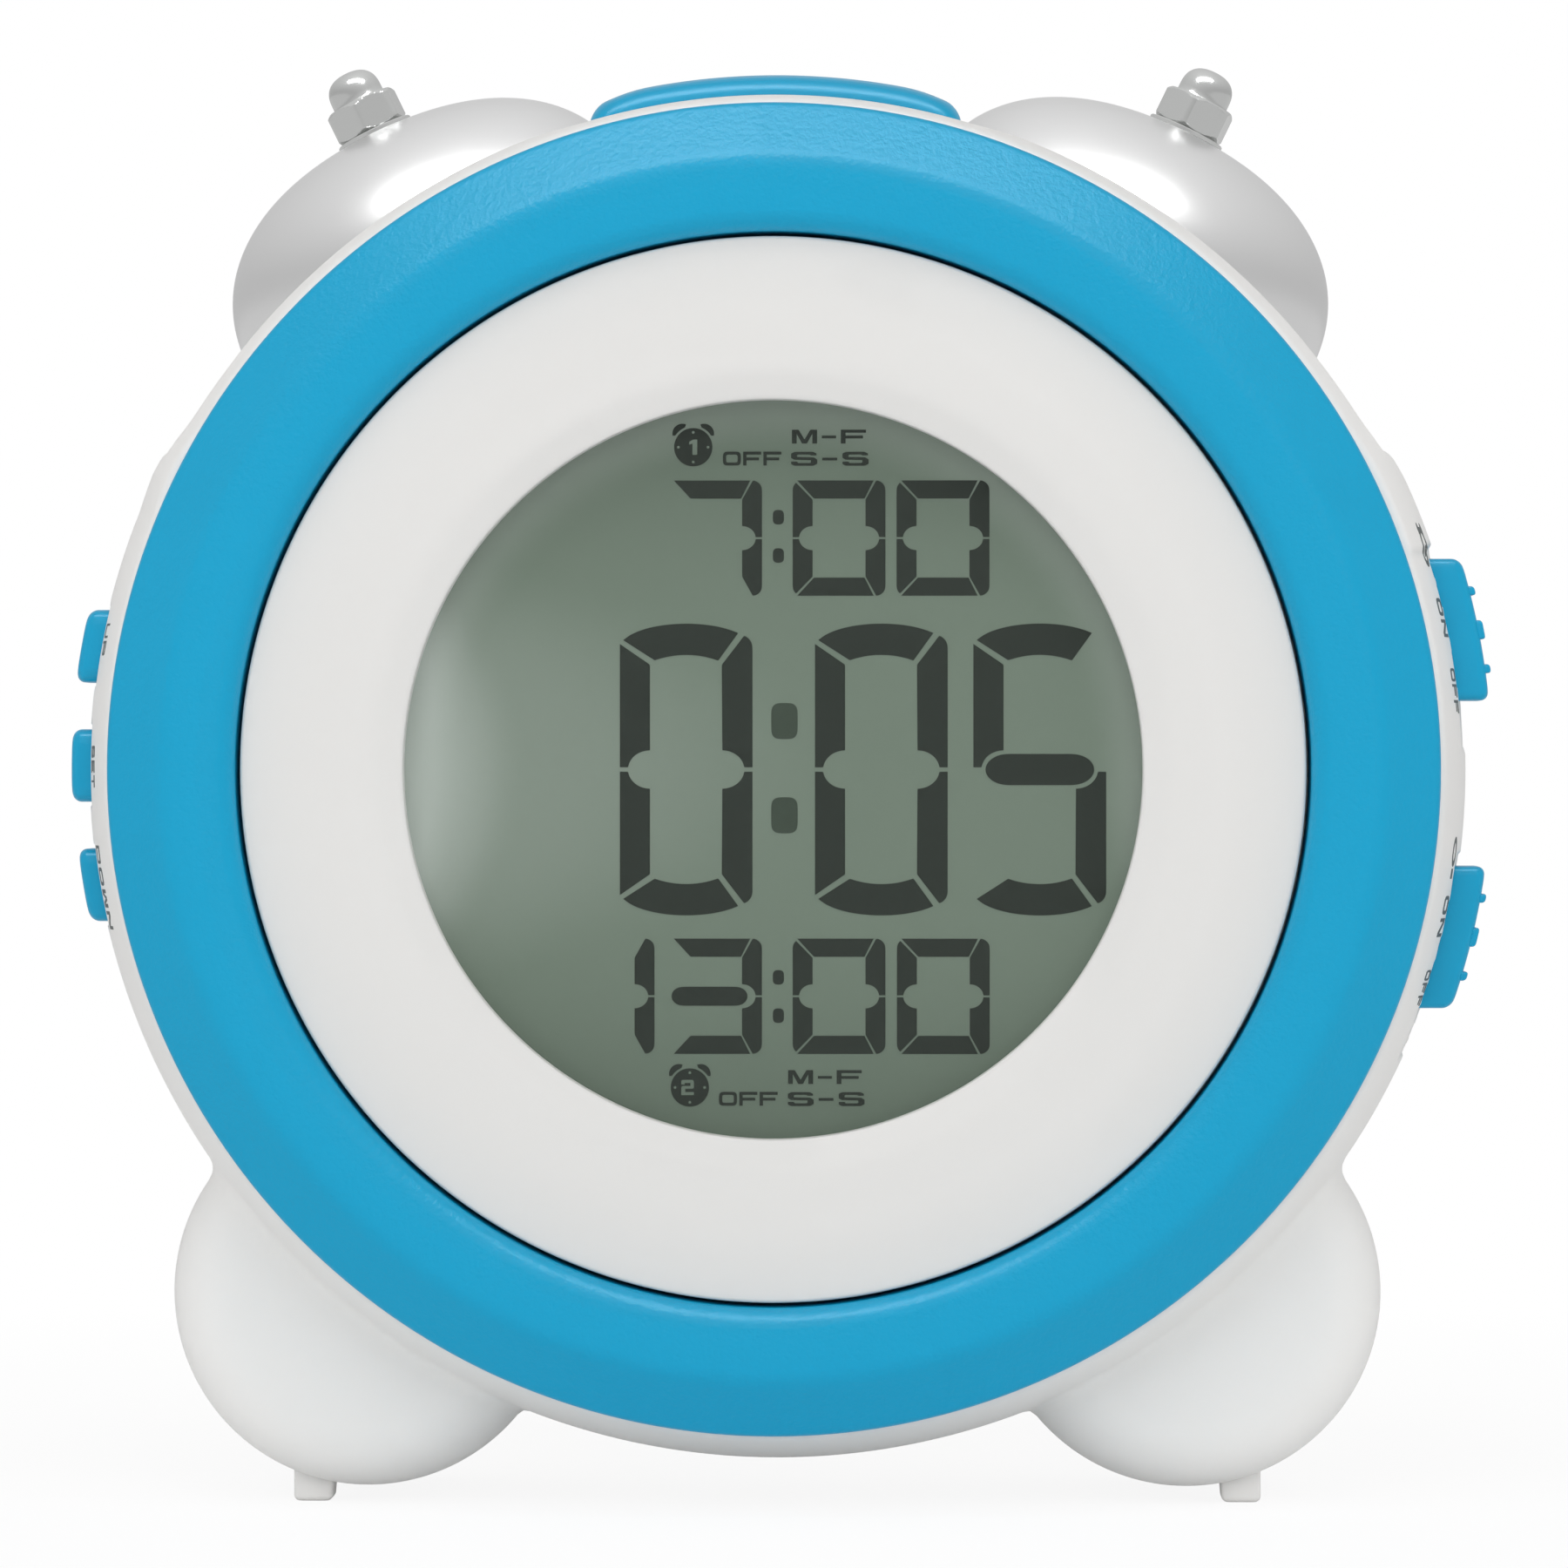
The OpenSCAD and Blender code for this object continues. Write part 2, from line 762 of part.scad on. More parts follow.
module lcd_holder() {
    color("whitesmoke") dial() difference() {
        disc(holder_r, glass_t, board_t);
        disc(glass_r + fit, 0, glass_mid);
        disc(seat_r + fit, 0, far);
        for (j = [-1, 1])
            block(zebra_w + 2 * fit, zebra_d + 2 * fit, 0, far, 0, j * zebra_y);
        block(led_chip_w + 2 * fit, led_chip_h + 2 * fit, guide_t - fit, far,
              -seat_r - fit - led_chip_w / 2, 0);
    }
}

module zebra_strips() {
    color("darksalmon") dial()
        for (j = [-1, 1]) block(zebra_w, zebra_d, glass_mid, board_t, 0, j * zebra_y);
}

module led_places() {
    for (i = [0:led_count - 1])
        at_angle((i + 0.5) * 360 / led_count) translate([led_ring_r, 0, 0]) children();
}

module light_reflector() {
    color("white") dial() difference() {
        hoop(ring_bore - fit, holder_r + fit, board_t - reflector_th, board_t);
        led_places() disc(led_r + fit, 0, far);
    }
}

module night_light_leds() {
    color("lightyellow") dial() led_places() {
        disc(led_r, board_t - led_body_h, board_t);
        translate([0, 0, led_body_h - board_t]) sphere(r = led_r);
    }
}

module main_board() {
    color(GREEN) dial() difference() {
        union() {
            disc(board_r, board_t, board_back);
            ear_places() disc(ear_r, board_t, board_back);
        }
        ear_places() disc(small_screw_r + fit, 0, far);
    }
}

module controller_chip() {
    color(BLACK) dial() {
        block(chip_w, chip_w, board_back, board_back + chip_th, 0, chip_y);
        block(driver_w, driver_h, board_back, board_back + chip_th, driver_x, driver_y);
    }
}

// A crystal, two capacitors and the sockets for the leads.
module board_parts() {
    color(STEEL) dial() {
        translate([0, crystal_y, -board_back - crystal_r]) rotate([0, 90, 0])
            cylinder(r = crystal_r, h = crystal_l);
        for (x = can_xs) translate([x, can_y, 0]) disc(can_r, board_back, board_back + can_l);
        for (x = socket_xs)
            block(socket_w, socket_h, board_back, board_back + socket_l, x, socket_y);
    }
}

// A screw along the depth axis, with its head's seat at depth seat and its tip in front.
module screw(r, l, r_head, h_head, seat) {
    difference() {
        union() {
            disc(r, seat - l, seat + over / 2);
            disc(r_head, seat, seat + h_head);
        }
        for (a = [0, 90])
            at_angle(a) block(1.3 * r_head, 0.3 * r_head, seat + h_head / 2, seat + h_head + over);
    }
}

module board_screws() {
    color(STEEL) dial() ear_places()
        screw(small_screw_r, board_back - plate_t - 0.2, small_head_r, small_head_h, board_back);
}

module case_screws() {
    color(STEEL) dial() screw_places() screw(screw_r, screw_l, head_r, head_h, screw_seat_t);
}

module top_button() {
    t1 = top_t + top_d;
    color(BLUE) dial() {
        intersection() {
            block(top_w, far, top_t, t1, 0, far / 2);
            hoop(top_r, top_skirt_r, top_t - over, t1 + over);
        }
        intersection() {
            block(top_core_w, far, top_t, t1, 0, far / 2);
            hoop(top_skirt_r + 0.5, top_core_r, top_t - over, t1 + over);
        }
        intersection() {
            block(top_core_w, far, top_t - lip, turret_in_t - gap, 0, far / 2);
            hoop(top_lip_r, top_core_r, 0, far);
        }
        for (i = [-1, 1])
            block(top_stem_w, top_core_r + 0.5 - top_stem_end, top_t + 1, t1 - 1,
                  i * top_switch_x, (top_core_r + 0.5 + top_stem_end) / 2);
    }
}

module top_button_board() {
    color(GREEN) dial()
        block(top_board_w, board_th, top_board_t, turret_in_t - gap, 0, top_board_y + board_th / 2);
}

module top_tact_switches() {
    color(BLACK) dial() for (i = [-1, 1])
        translate([i * top_switch_x, top_board_top, -top_t - top_d / 2]) {
            translate([-tact_w / 2, 0, -tact_w / 2]) cube([tact_w, tact_h, tact_w]);
            rotate([-90, 0, 0]) cylinder(r = plunger_r, h = tact_h + plunger_h);
        }
}

module side_button(y) {
    t0 = side_t - side_d / 2;
    t1 = side_t + side_d / 2;
    color(BLUE) dial() {
        intersection() {
            block(far, side_h, t0, t1, -far / 2, y);
            hoop(side_r, side_flange_r - 0.5, 0, far);
        }
        intersection() {
            block(far, side_h + 2 * lip, t0 - lip, t1 + lip, -far / 2, y);
            hoop(side_flange_r, side_flange_r - side_flange_th, 0, far);
        }
        block(side_flange_r - 1.5 - side_stem_end, side_stem_w, side_t - side_stem_w / 2,
              side_t + side_stem_w / 2, -(side_flange_r - 1.5 + side_stem_end) / 2, y);
    }
}

module up_button() {
    side_button(side_offsets[0]);
}

module set_button() {
    side_button(side_offsets[1]);
}

module down_button() {
    side_button(side_offsets[2]);
}

module side_button_board() {
    color(GREEN) dial() side_board(-side_board_x, side_board_h, side_lift);
}

module side_tact_switches() {
    color(BLACK) dial() for (y = side_offsets)
        translate([-side_board_x, y, -side_t]) {
            translate([-tact_h, -tact_w / 2, -tact_w / 2]) cube([tact_h, tact_w, tact_w]);
            rotate([0, -90, 0]) cylinder(r = plunger_r, h = tact_h + plunger_h);
        }
}

// A slide knob centred at height y. It clears the case at both ends of its travel.
module slide_knob(y) {
    t0 = side_t - knob_d / 2;
    t1 = side_t + knob_d / 2;
    color(BLUE) dial() difference() {
        union() {
            intersection() {
                block(far, knob_h, t0, t1, far / 2, y);
                disc(knob_r, 0, far);
            }
            for (i = [-1, 0, 1])
                intersection() {
                    block(far, rib_w, t0, t1, far / 2, y + i * rib_pitch);
                    disc(knob_r + rib_h, 0, far);
                }
        }
        difference() {
            union() {
                disc(case_r + gap, 0, far);
                translate([0, slide_travel, 0]) disc(case_r + gap, 0, far);
            }
            block(far, neck_h, side_t - neck_d / 2, side_t + neck_d / 2, neck_in + far / 2, y);
        }
        block(2 * lever_hold, lever_h, side_t - lever_d / 2, side_t + lever_d / 2, neck_in, y);
    }
}

module switch_lever(y) {
    color(BLACK) dial()
        block(lever_l, lever_h, side_t - lever_d / 2, side_t + lever_d / 2,
              neck_in + lever_hold - lever_l / 2, y);
}

module alarm_slide_knob() {
    slide_knob(upper_y);
}

module alarm_switch_lever() {
    switch_lever(upper_y);
}

module light_slide_knob() {
    slide_knob(-lower_y);
}

module light_switch_lever() {
    switch_lever(-lower_y);
}

module slide_switch_board() {
    color(GREEN) dial() side_board(slide_board_x, slide_board_h, slide_mid_y);
}

module slide_switch_cans() {
    color(STEEL) dial() for (y = [upper_y, -lower_y])
        block(can_depth, can_h, side_t - can_d / 2, side_t + can_d / 2,
              can_top - can_depth / 2, y - slide_travel / 2);
}

// Points down the outside or the inside of a bell's dome.
function dome(r, h, d) =
    let (steps = 14, a0 = dome_angle(r, post_r))
    [for (i = [0:steps]) let (a = a0 + (90 - a0) * i / steps) [dome_r(r, a), -d - dome_drop(h, a)]];

module bell(side) {
    outer = dome(bell_r, bell_h, 0);
    inner = dome(bell_r - bell_skin, bell_h - bell_skin, bell_skin);
    n = len(inner) - 1;
    bore = bolt_r + fit;
    color(STEEL) dial() on_bell(side) rotate_extrude() polygon(concat(
        [[bore, -seat_d]], outer,
        [[bell_r + bell_flare, -mouth_d], [bell_r + bell_flare - bell_skin, -mouth_d]],
        [for (i = [n:-1:0]) inner[i]], [[bore, -post_d]]
    ));
}

module left_bell() {
    bell(-1);
}

module right_bell() {
    bell(1);
}

module bell_bolt(side) {
    color(STEEL) dial() on_bell(side) {
        translate([0, 0, -pad_d]) cylinder(r = bolt_r, h = pad_d + bolt_end);
        difference() {
            bell_disc(bolt_head_r, pad_d, pad_d + bolt_head_h);
            bell_disc(bolt_r / cos(30), pad_d + 1, far, $fn = 6);
        }
    }
}

module left_bell_bolt() {
    bell_bolt(-1);
}

module right_bell_bolt() {
    bell_bolt(1);
}

module bell_washer(side) {
    color(STEEL) dial() on_bell(side) difference() {
        bell_disc(washer_r, seat_d - washer_th, seat_d);
        bell_disc(bolt_r + fit, -far, far);
    }
}

module left_bell_washer() {
    bell_washer(-1);
}

module right_bell_washer() {
    bell_washer(1);
}

module acorn_nut(side) {
    e = nut_corner_r;
    h = nut_hex_h;
    color(STEEL) dial() on_bell(side) translate([0, 0, washer_th - seat_d]) difference() {
        union() {
            intersection() {
                rotate([0, 0, 12]) cylinder(r = e, h = h, $fn = 6);
                // Both ends of the hexagon are chamfered.
                cylinder(r1 = e - 0.3, r2 = e - 0.3 + h, h = h);
                cylinder(r1 = e - 0.7 + h, r2 = e - 0.7, h = h);
            }
            cylinder(r = nut_dome_r, h = nut_h - nut_dome_r);
            translate([0, 0, nut_h - nut_dome_r]) sphere(r = nut_dome_r);
        }
        translate([0, 0, -over]) cylinder(r = bolt_r + thread_slack, h = nut_h - 1.6 + over);
    }
}

module left_acorn_nut() {
    acorn_nut(-1);
}

module right_acorn_nut() {
    acorn_nut(1);
}

module foot_pegs() {
    color(WHITE) dial() peg_places() peg(0);
}

module battery_door() {
    w = bay_w + 2 * door_rim - 2 * gap;
    h = bay_h + 2 * door_rim - 2 * gap;
    color(WHITE) dial() {
        block(w, h, door_t, case_depth, 0, bay_y);
        // Tabs that hold the door's lower edge.
        for (i = [-1, 1])
            block(tab_w, tab_th, door_t - tab_l, door_t + 0.5, i * bay_w / 4,
                  bay_y - bay_h / 2 + gap + tab_th / 2);
    }
}

// The cells lie in a row, each turned end for end from the next.
module cell_places() {
    for (i = [-1, 0, 1]) {
        turn = i == 0 ? 1 : -1;
        translate([0, bay_y + i * cell_pitch, -cell_t]) scale_side(turn) children();
    }
}

module scale_side(turn) {
    mirror([turn < 0 ? 1 : 0, 0, 0]) children();
}

module battery_cells() {
    color("goldenrod") dial() cell_places()
        translate([plate_th - bay_w / 2, 0, 0]) rotate([0, 90, 0]) {
            cylinder(r = nub_r, h = nub_l + 0.5);
            translate([0, 0, nub_l]) cylinder(r = cell_r, h = cell_l - nub_l);
        }
}

// One turn of wire after another, as rings of points round a helix along x.
function coil_points(l, sides, steps) = [
    for (i = [0:steps], j = [0:sides - 1])
        let (a = 360 * spring_turns * i / steps, b = 360 * j / sides, r = spring_r + wire_r * cos(b))
        [wire_r * (1 + sin(b)) + (l - 2 * wire_r) * i / steps, r * cos(a), r * sin(a)]
];

module coil(l) {
    sides = 8;
    steps = 14 * spring_turns;
    last = sides * steps;
    polyhedron(
        points = coil_points(l, sides, steps),
        faces = concat(
            [[for (j = [0:sides - 1]) j]],
            [for (i = [0:steps - 1], j = [0:sides - 1])
                [i * sides + j, (i + 1) * sides + j, (i + 1) * sides + (j + 1) % sides,
                 i * sides + (j + 1) % sides]],
            [[for (j = [sides - 1:-1:0]) last + j]]
        )
    );
}

module battery_springs() {
    l = bay_w - cell_l - 2 * plate_th;
    color(STEEL) dial() cell_places()
        translate([bay_w / 2 - plate_th - l, 0, 0]) coil(l);
}

module battery_plates() {
    color(STEEL) dial() for (i = [-1, 0, 1], side = [-1, 1])
        block(plate_th, contact_w, cell_t - contact_w / 2, cell_t + contact_w / 2,
              side * (bay_w - plate_th) / 2, bay_y + i * cell_pitch);
}

module on_speaker() {
    translate([0, speaker_y, 0]) children();
}

module speaker_frame() {
    t = speaker_seat_t;
    r = speaker_r - rim_w;
    floor_z = basket_d - basket_skin - t;
    color(STEEL) dial() on_speaker() rotate_extrude() polygon([
        [r, -back_in_t], [speaker_r, -back_in_t], [speaker_r, -t], [r, -t],
        [basket_r, basket_d - t], [pole_r, basket_d - t], [pole_r, floor_z],
        [basket_r - basket_skin / 2, floor_z], [r - cone_ledge, -t - cone_ledge],
        [r, -t - cone_ledge]
    ]);
}

module speaker_cone() {
    t = speaker_seat_t + cone_ledge;
    r = cone_r - cone_ledge;
    color(BLACK) dial() on_speaker() rotate_extrude() polygon([
        [cone_r, -t - cone_skin], [r, -t - cone_skin], [cap_r, cone_rise - t - cone_skin],
        [0, cap_rise - t - cone_skin], [0, cap_rise - t], [cap_r, cone_rise - t], [r, -t],
        [cone_r, -t]
    ]);
}

module speaker_magnet() {
    color(BLACK) dial() on_speaker()
        disc(magnet_r, speaker_seat_t - basket_d - magnet_h, speaker_seat_t - basket_d);
}

module speaker_retainer() {
    t1 = speaker_seat_t;
    color(STEEL) dial() on_speaker() difference() {
        union() {
            disc(speaker_r + 1.2, t1 - retainer_th, t1);
            block(2 * speaker_post_x, 2 * speaker_post_r, t1 - retainer_th, t1);
            for (i = [-1, 1])
                translate([i * speaker_post_x, 0, 0]) disc(speaker_post_r, t1 - retainer_th, t1);
        }
        disc(speaker_r - rim_w + fit, 0, far);
        for (i = [-1, 1])
            translate([i * speaker_post_x, 0, 0]) disc(small_screw_r + fit, 0, far);
    }
}

module speaker_screws() {
    seat = speaker_seat_t - retainer_th;
    color(STEEL) dial() on_speaker() for (i = [-1, 1])
        translate([i * speaker_post_x, 0, 0]) mirror([0, 0, 1]) translate([0, 0, 2 * seat])
            screw(small_screw_r, retainer_th + 2, small_head_r, small_head_h, seat);
}

front_shell();
rear_shell();
front_bezel();
night_light_ring();
display_window();
lcd_panel();
light_guide();
backlight_led();
lcd_holder();
zebra_strips();
light_reflector();
night_light_leds();
main_board();
controller_chip();
board_parts();
board_screws();
top_button();
top_button_board();
top_tact_switches();
up_button();
set_button();
down_button();
side_button_board();
side_tact_switches();
alarm_slide_knob();
alarm_switch_lever();
light_slide_knob();
light_switch_lever();
slide_switch_board();
slide_switch_cans();
left_bell();
right_bell();
left_bell_bolt();
right_bell_bolt();
left_bell_washer();
right_bell_washer();
left_acorn_nut();
right_acorn_nut();
foot_pegs();
battery_door();
battery_cells();
battery_springs();
battery_plates();
speaker_frame();
speaker_cone();
speaker_magnet();
speaker_retainer();
speaker_screws();
case_screws();
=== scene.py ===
"""Looks of a round alarm clock with twin bells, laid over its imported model.

Lengths are millimetres in the clock's own axes until a mesh is placed: x to the right, y up
from the dial's centre and t back from the front of the bezel.
"""

import json
import logging
import math
from dataclasses import dataclass, field
from enum import Enum
from typing import Callable, Iterable, Sequence

import bmesh
import bpy
import numpy as np
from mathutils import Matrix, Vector


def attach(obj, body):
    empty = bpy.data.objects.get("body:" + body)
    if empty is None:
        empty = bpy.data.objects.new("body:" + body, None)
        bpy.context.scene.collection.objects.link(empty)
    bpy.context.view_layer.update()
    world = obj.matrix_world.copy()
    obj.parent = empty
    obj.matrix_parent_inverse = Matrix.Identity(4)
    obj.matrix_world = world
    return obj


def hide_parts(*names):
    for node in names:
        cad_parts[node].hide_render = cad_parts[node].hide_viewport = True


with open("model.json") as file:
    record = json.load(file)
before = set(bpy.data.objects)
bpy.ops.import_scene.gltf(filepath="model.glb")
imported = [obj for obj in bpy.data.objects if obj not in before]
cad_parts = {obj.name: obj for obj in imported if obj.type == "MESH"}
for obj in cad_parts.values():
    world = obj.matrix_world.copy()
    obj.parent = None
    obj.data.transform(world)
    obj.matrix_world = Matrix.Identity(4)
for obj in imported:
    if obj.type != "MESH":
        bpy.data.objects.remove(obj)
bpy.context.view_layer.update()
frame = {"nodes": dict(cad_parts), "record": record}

LOG = logging.getLogger("clock")
MM = 0.001
DIAL_H = 73.87
FRONT = 33.0
FAR = 90.0
COAT_ROUGHNESS = 0.1
PLASTIC_IOR = 1.5

Point = tuple[float, float]
Size = tuple[float, float, float]
Colour = tuple[float, float, float, float]
Layer = Callable[[float, float], Vector]
Outlines = tuple[list[list[Point]], list[tuple[list[Point], ...]]]
Grid = np.ndarray
Field = Callable[[Grid, Grid, Grid], Grid]


# ---------------------------------------------------------------- places and outlines


def spot(x: float, y: float, t: float) -> Vector:
    """Gives the place in metres of a point x across, y up and t back, in mm."""
    return Vector((x * MM, (t - FRONT) * MM, (y + DIAL_H) * MM))


def paint(red: int, green: int, blue: int) -> Colour:
    """Turns a screen colour of 0 to 255 into the linear colour that a shader takes."""

    def linear(value: int) -> float:
        """Undoes the screen's curve for one channel."""
        v = value / 255
        return v / 12.92 if v <= 0.04045 else ((v + 0.055) / 1.055) ** 2.4

    return (linear(red), linear(green), linear(blue), 1.0)


def arc(centre: Point, radii: Point, start: float, end: float, steps: int) -> list[Point]:
    """Walks along part of an ellipse.

    Args:
        centre: Middle of the ellipse.
        radii: Half its width and half its height.
        start: First angle in degrees, counted from +x towards +y.
        end: Last angle in degrees.
        steps: How many straight pieces the arc has.

    Returns:
        The points from the start to the end, both included.
    """
    turns = [math.radians(start + (end - start) * i / steps) for i in range(steps + 1)]
    return [(centre[0] + radii[0] * math.cos(a), centre[1] + radii[1] * math.sin(a)) for a in turns]


def eased(corners: Sequence[Size], steps: int = 6) -> list[Point]:
    """Rounds the corners of a closed outline.

    Args:
        corners: Each corner as x, y and the radius that rounds it.
        steps: Straight pieces in each rounded corner.

    Returns:
        The outline's points in the same order.
    """
    points: list[Point] = []
    for i, (x, y, radius) in enumerate(corners):
        here = Vector((x, y))
        before = Vector(corners[i - 1][:2]) - here
        after = Vector(corners[(i + 1) % len(corners)][:2]) - here
        bend = before.angle(after)
        if radius <= 0 or bend > math.pi - 0.02:
            points.append((x, y))
            continue
        reach = min(radius / math.tan(bend / 2), 0.499 * before.length, 0.499 * after.length)
        first = here + before.normalized() * reach
        last = here + after.normalized() * reach
        for k in range(steps + 1):
            s = k / steps
            point = first * (1 - s) ** 2 + here * (2 * s * (1 - s)) + last * s**2
            points.append((point.x, point.y))
    return points


def level(t: float) -> Layer:
    """Gives the placing function of a flat layer at depth t."""
    return lambda x, y: spot(x, y, t)


def plate(bm: bmesh.types.BMesh, outline: Sequence[Point], top: Layer, under: Layer) -> None:
    """Adds a thin plate with the given outline between two layers."""
    front = [bm.verts.new(top(x, y)) for x, y in outline]
    rear = [bm.verts.new(under(x, y)) for x, y in outline]
    bm.faces.new(front)
    bm.faces.new(list(reversed(rear)))
    for i in range(len(outline)):
        j = (i + 1) % len(outline)
        bm.faces.new((front[j], front[i], rear[i], rear[j]))


def bridge(bm: bmesh.types.BMesh, a: Sequence[bmesh.types.BMVert],
           b: Sequence[bmesh.types.BMVert]) -> None:
    """Joins two closed loops of as many vertices with a ring of four-sided faces."""
    for i in range(len(a)):
        j = (i + 1) % len(a)
        bm.faces.new((a[i], a[j], b[j], b[i]))


def band(bm: bmesh.types.BMesh, outer: Sequence[Point], inner: Sequence[Point], top: Layer,
         under: Layer) -> None:
    """Adds a thin closed band between two outlines with as many points each."""
    loops = [[bm.verts.new(layer(x, y)) for x, y in line]
             for line, layer in ((outer, top), (inner, top), (inner, under), (outer, under))]
    for k in range(4):
        bridge(bm, loops[k], loops[(k + 1) % 4])


def printed(bm: bmesh.types.BMesh, outlines: Outlines, top: Layer, under: Layer) -> None:
    """Adds a word's solid outlines as plates and its open ones as bands."""
    for line in outlines[0]:
        plate(bm, line, top, under)
    for outer, inner in outlines[1]:
        band(bm, outer, inner, top, under)


def lathe(bm: bmesh.types.BMesh, section: Sequence[Point], steps: int,
          place: Callable[[float, float, float], Vector], closed: bool = True) -> None:
    """Turns a section round an axis.

    Args:
        bm: The mesh that takes the faces.
        section: Points as radius and depth along the axis.
        steps: How many copies of the section make the turn.
        place: Gives a vertex for a distance across, a distance up and a depth.
        closed: Whether the section's last point joins its first.
    """
    turns = [math.tau * i / steps for i in range(steps)]
    rings = []
    for radius, depth in section:
        if radius < 1e-6:
            rings.append([bm.verts.new(place(0.0, 0.0, depth))] * steps)
            continue
        rings.append([bm.verts.new(place(radius * math.cos(a), radius * math.sin(a), depth))
                      for a in turns])
    count = len(rings)
    for k in range(count if closed else count - 1):
        a, b = rings[k], rings[(k + 1) % count]
        for i in range(steps):
            j = (i + 1) % steps
            corners = list(dict.fromkeys((a[i], a[j], b[j], b[i])))
            if len(corners) > 2:
                bm.faces.new(corners)


def soft_block(bm: bmesh.types.BMesh, size: Size, side_round: float,
               top_round: float, cuts: tuple[int, int], bend: Callable[[Vector], Vector],
               steps: int = 5) -> None:
    """Adds a block whose upright corners and top edges are rounded, bent into place.

    Args:
        bm: The mesh that takes the block.
        size: Width, depth and height. The middle of its base is the origin.
        side_round: Radius of the upright corners.
        top_round: Radius of the top's edges.
        cuts: Cuts across the width and across the depth, for the bend.
        bend: Gives a vertex's place in metres from its place in the straight block.
        steps: Segments in each rounded edge.
    """
    w, d, h = size
    work = bmesh.new()
    outline = eased([(-w / 2, -d / 2, side_round), (w / 2, -d / 2, side_round),
                     (w / 2, d / 2, side_round), (-w / 2, d / 2, side_round)], steps)
    rings = []
    for k in range(-1, steps + 1):
        angle = math.pi / 2 * max(k, 0) / steps
        inset = top_round * (1 - math.cos(angle))
        z = 0.0 if k < 0 else h - top_round + top_round * math.sin(angle)
        rings.append([work.verts.new((x * (1 - 2 * inset / w), y * (1 - 2 * inset / d), z))
                      for x, y in outline])
    for a, b in zip(rings, rings[1:]):
        bridge(work, a, b)
    work.faces.new(list(reversed(rings[0])))
    work.faces.new(rings[-1])
    for count, span, way in ((cuts[0], w, (1, 0, 0)), (cuts[1], d, (0, 1, 0))):
        for i in range(1, count):
            geometry = list(work.verts) + list(work.edges) + list(work.faces)
            bmesh.ops.bisect_plane(work, geom=geometry, plane_no=way,
                                   plane_co=Vector(way) * span * (i / count - 0.5))
    for vertex in work.verts:
        vertex.co = bend(vertex.co)
    part = bpy.data.meshes.new("part")
    work.to_mesh(part)
    work.free()
    bm.from_mesh(part)
    bpy.data.meshes.remove(part)


# ---------------------------------------------------------------- moulded forms


def joined(a: Grid, b: Grid, soft: float) -> Grid:
    """Joins two solids, given as distances outside them, with a fillet of about that width."""
    share = np.clip(0.5 + 0.5 * (b - a) / soft, 0.0, 1.0)
    return b + (a - b) * share - soft * share * (1.0 - share)


def shared(a: Grid, b: Grid, soft: float) -> Grid:
    """Keeps what lies in both solids, with edges rounded over about that width."""
    return -joined(-a, -b, soft)


def cut(a: Grid, b: Grid, soft: float) -> Grid:
    """Takes the second solid out of the first, with edges rounded over about that width."""
    return shared(a, -b, soft)


def slab(across: tuple[Grid, float, float], *more: tuple[Grid, float, float]) -> Grid:
    """Gives the box of points whose coordinates each lie between two limits."""
    sides = [np.maximum(low - value, value - high) for value, low, high in (across, *more)]
    solid = sides[0]
    for side in sides[1:]:
        solid = np.maximum(solid, side)
    return solid


def slope_of(solid: Field, points: Grid, step: float = 0.02) -> Grid:
    """Measures which way, and how fast, a solid's distance grows at each point."""
    parts = []
    for axis in range(3):
        shift = np.zeros(3)
        shift[axis] = step
        parts.append((solid(*(points + shift).T) - solid(*(points - shift).T)) / (2 * step))
    return np.stack(parts, axis=1)


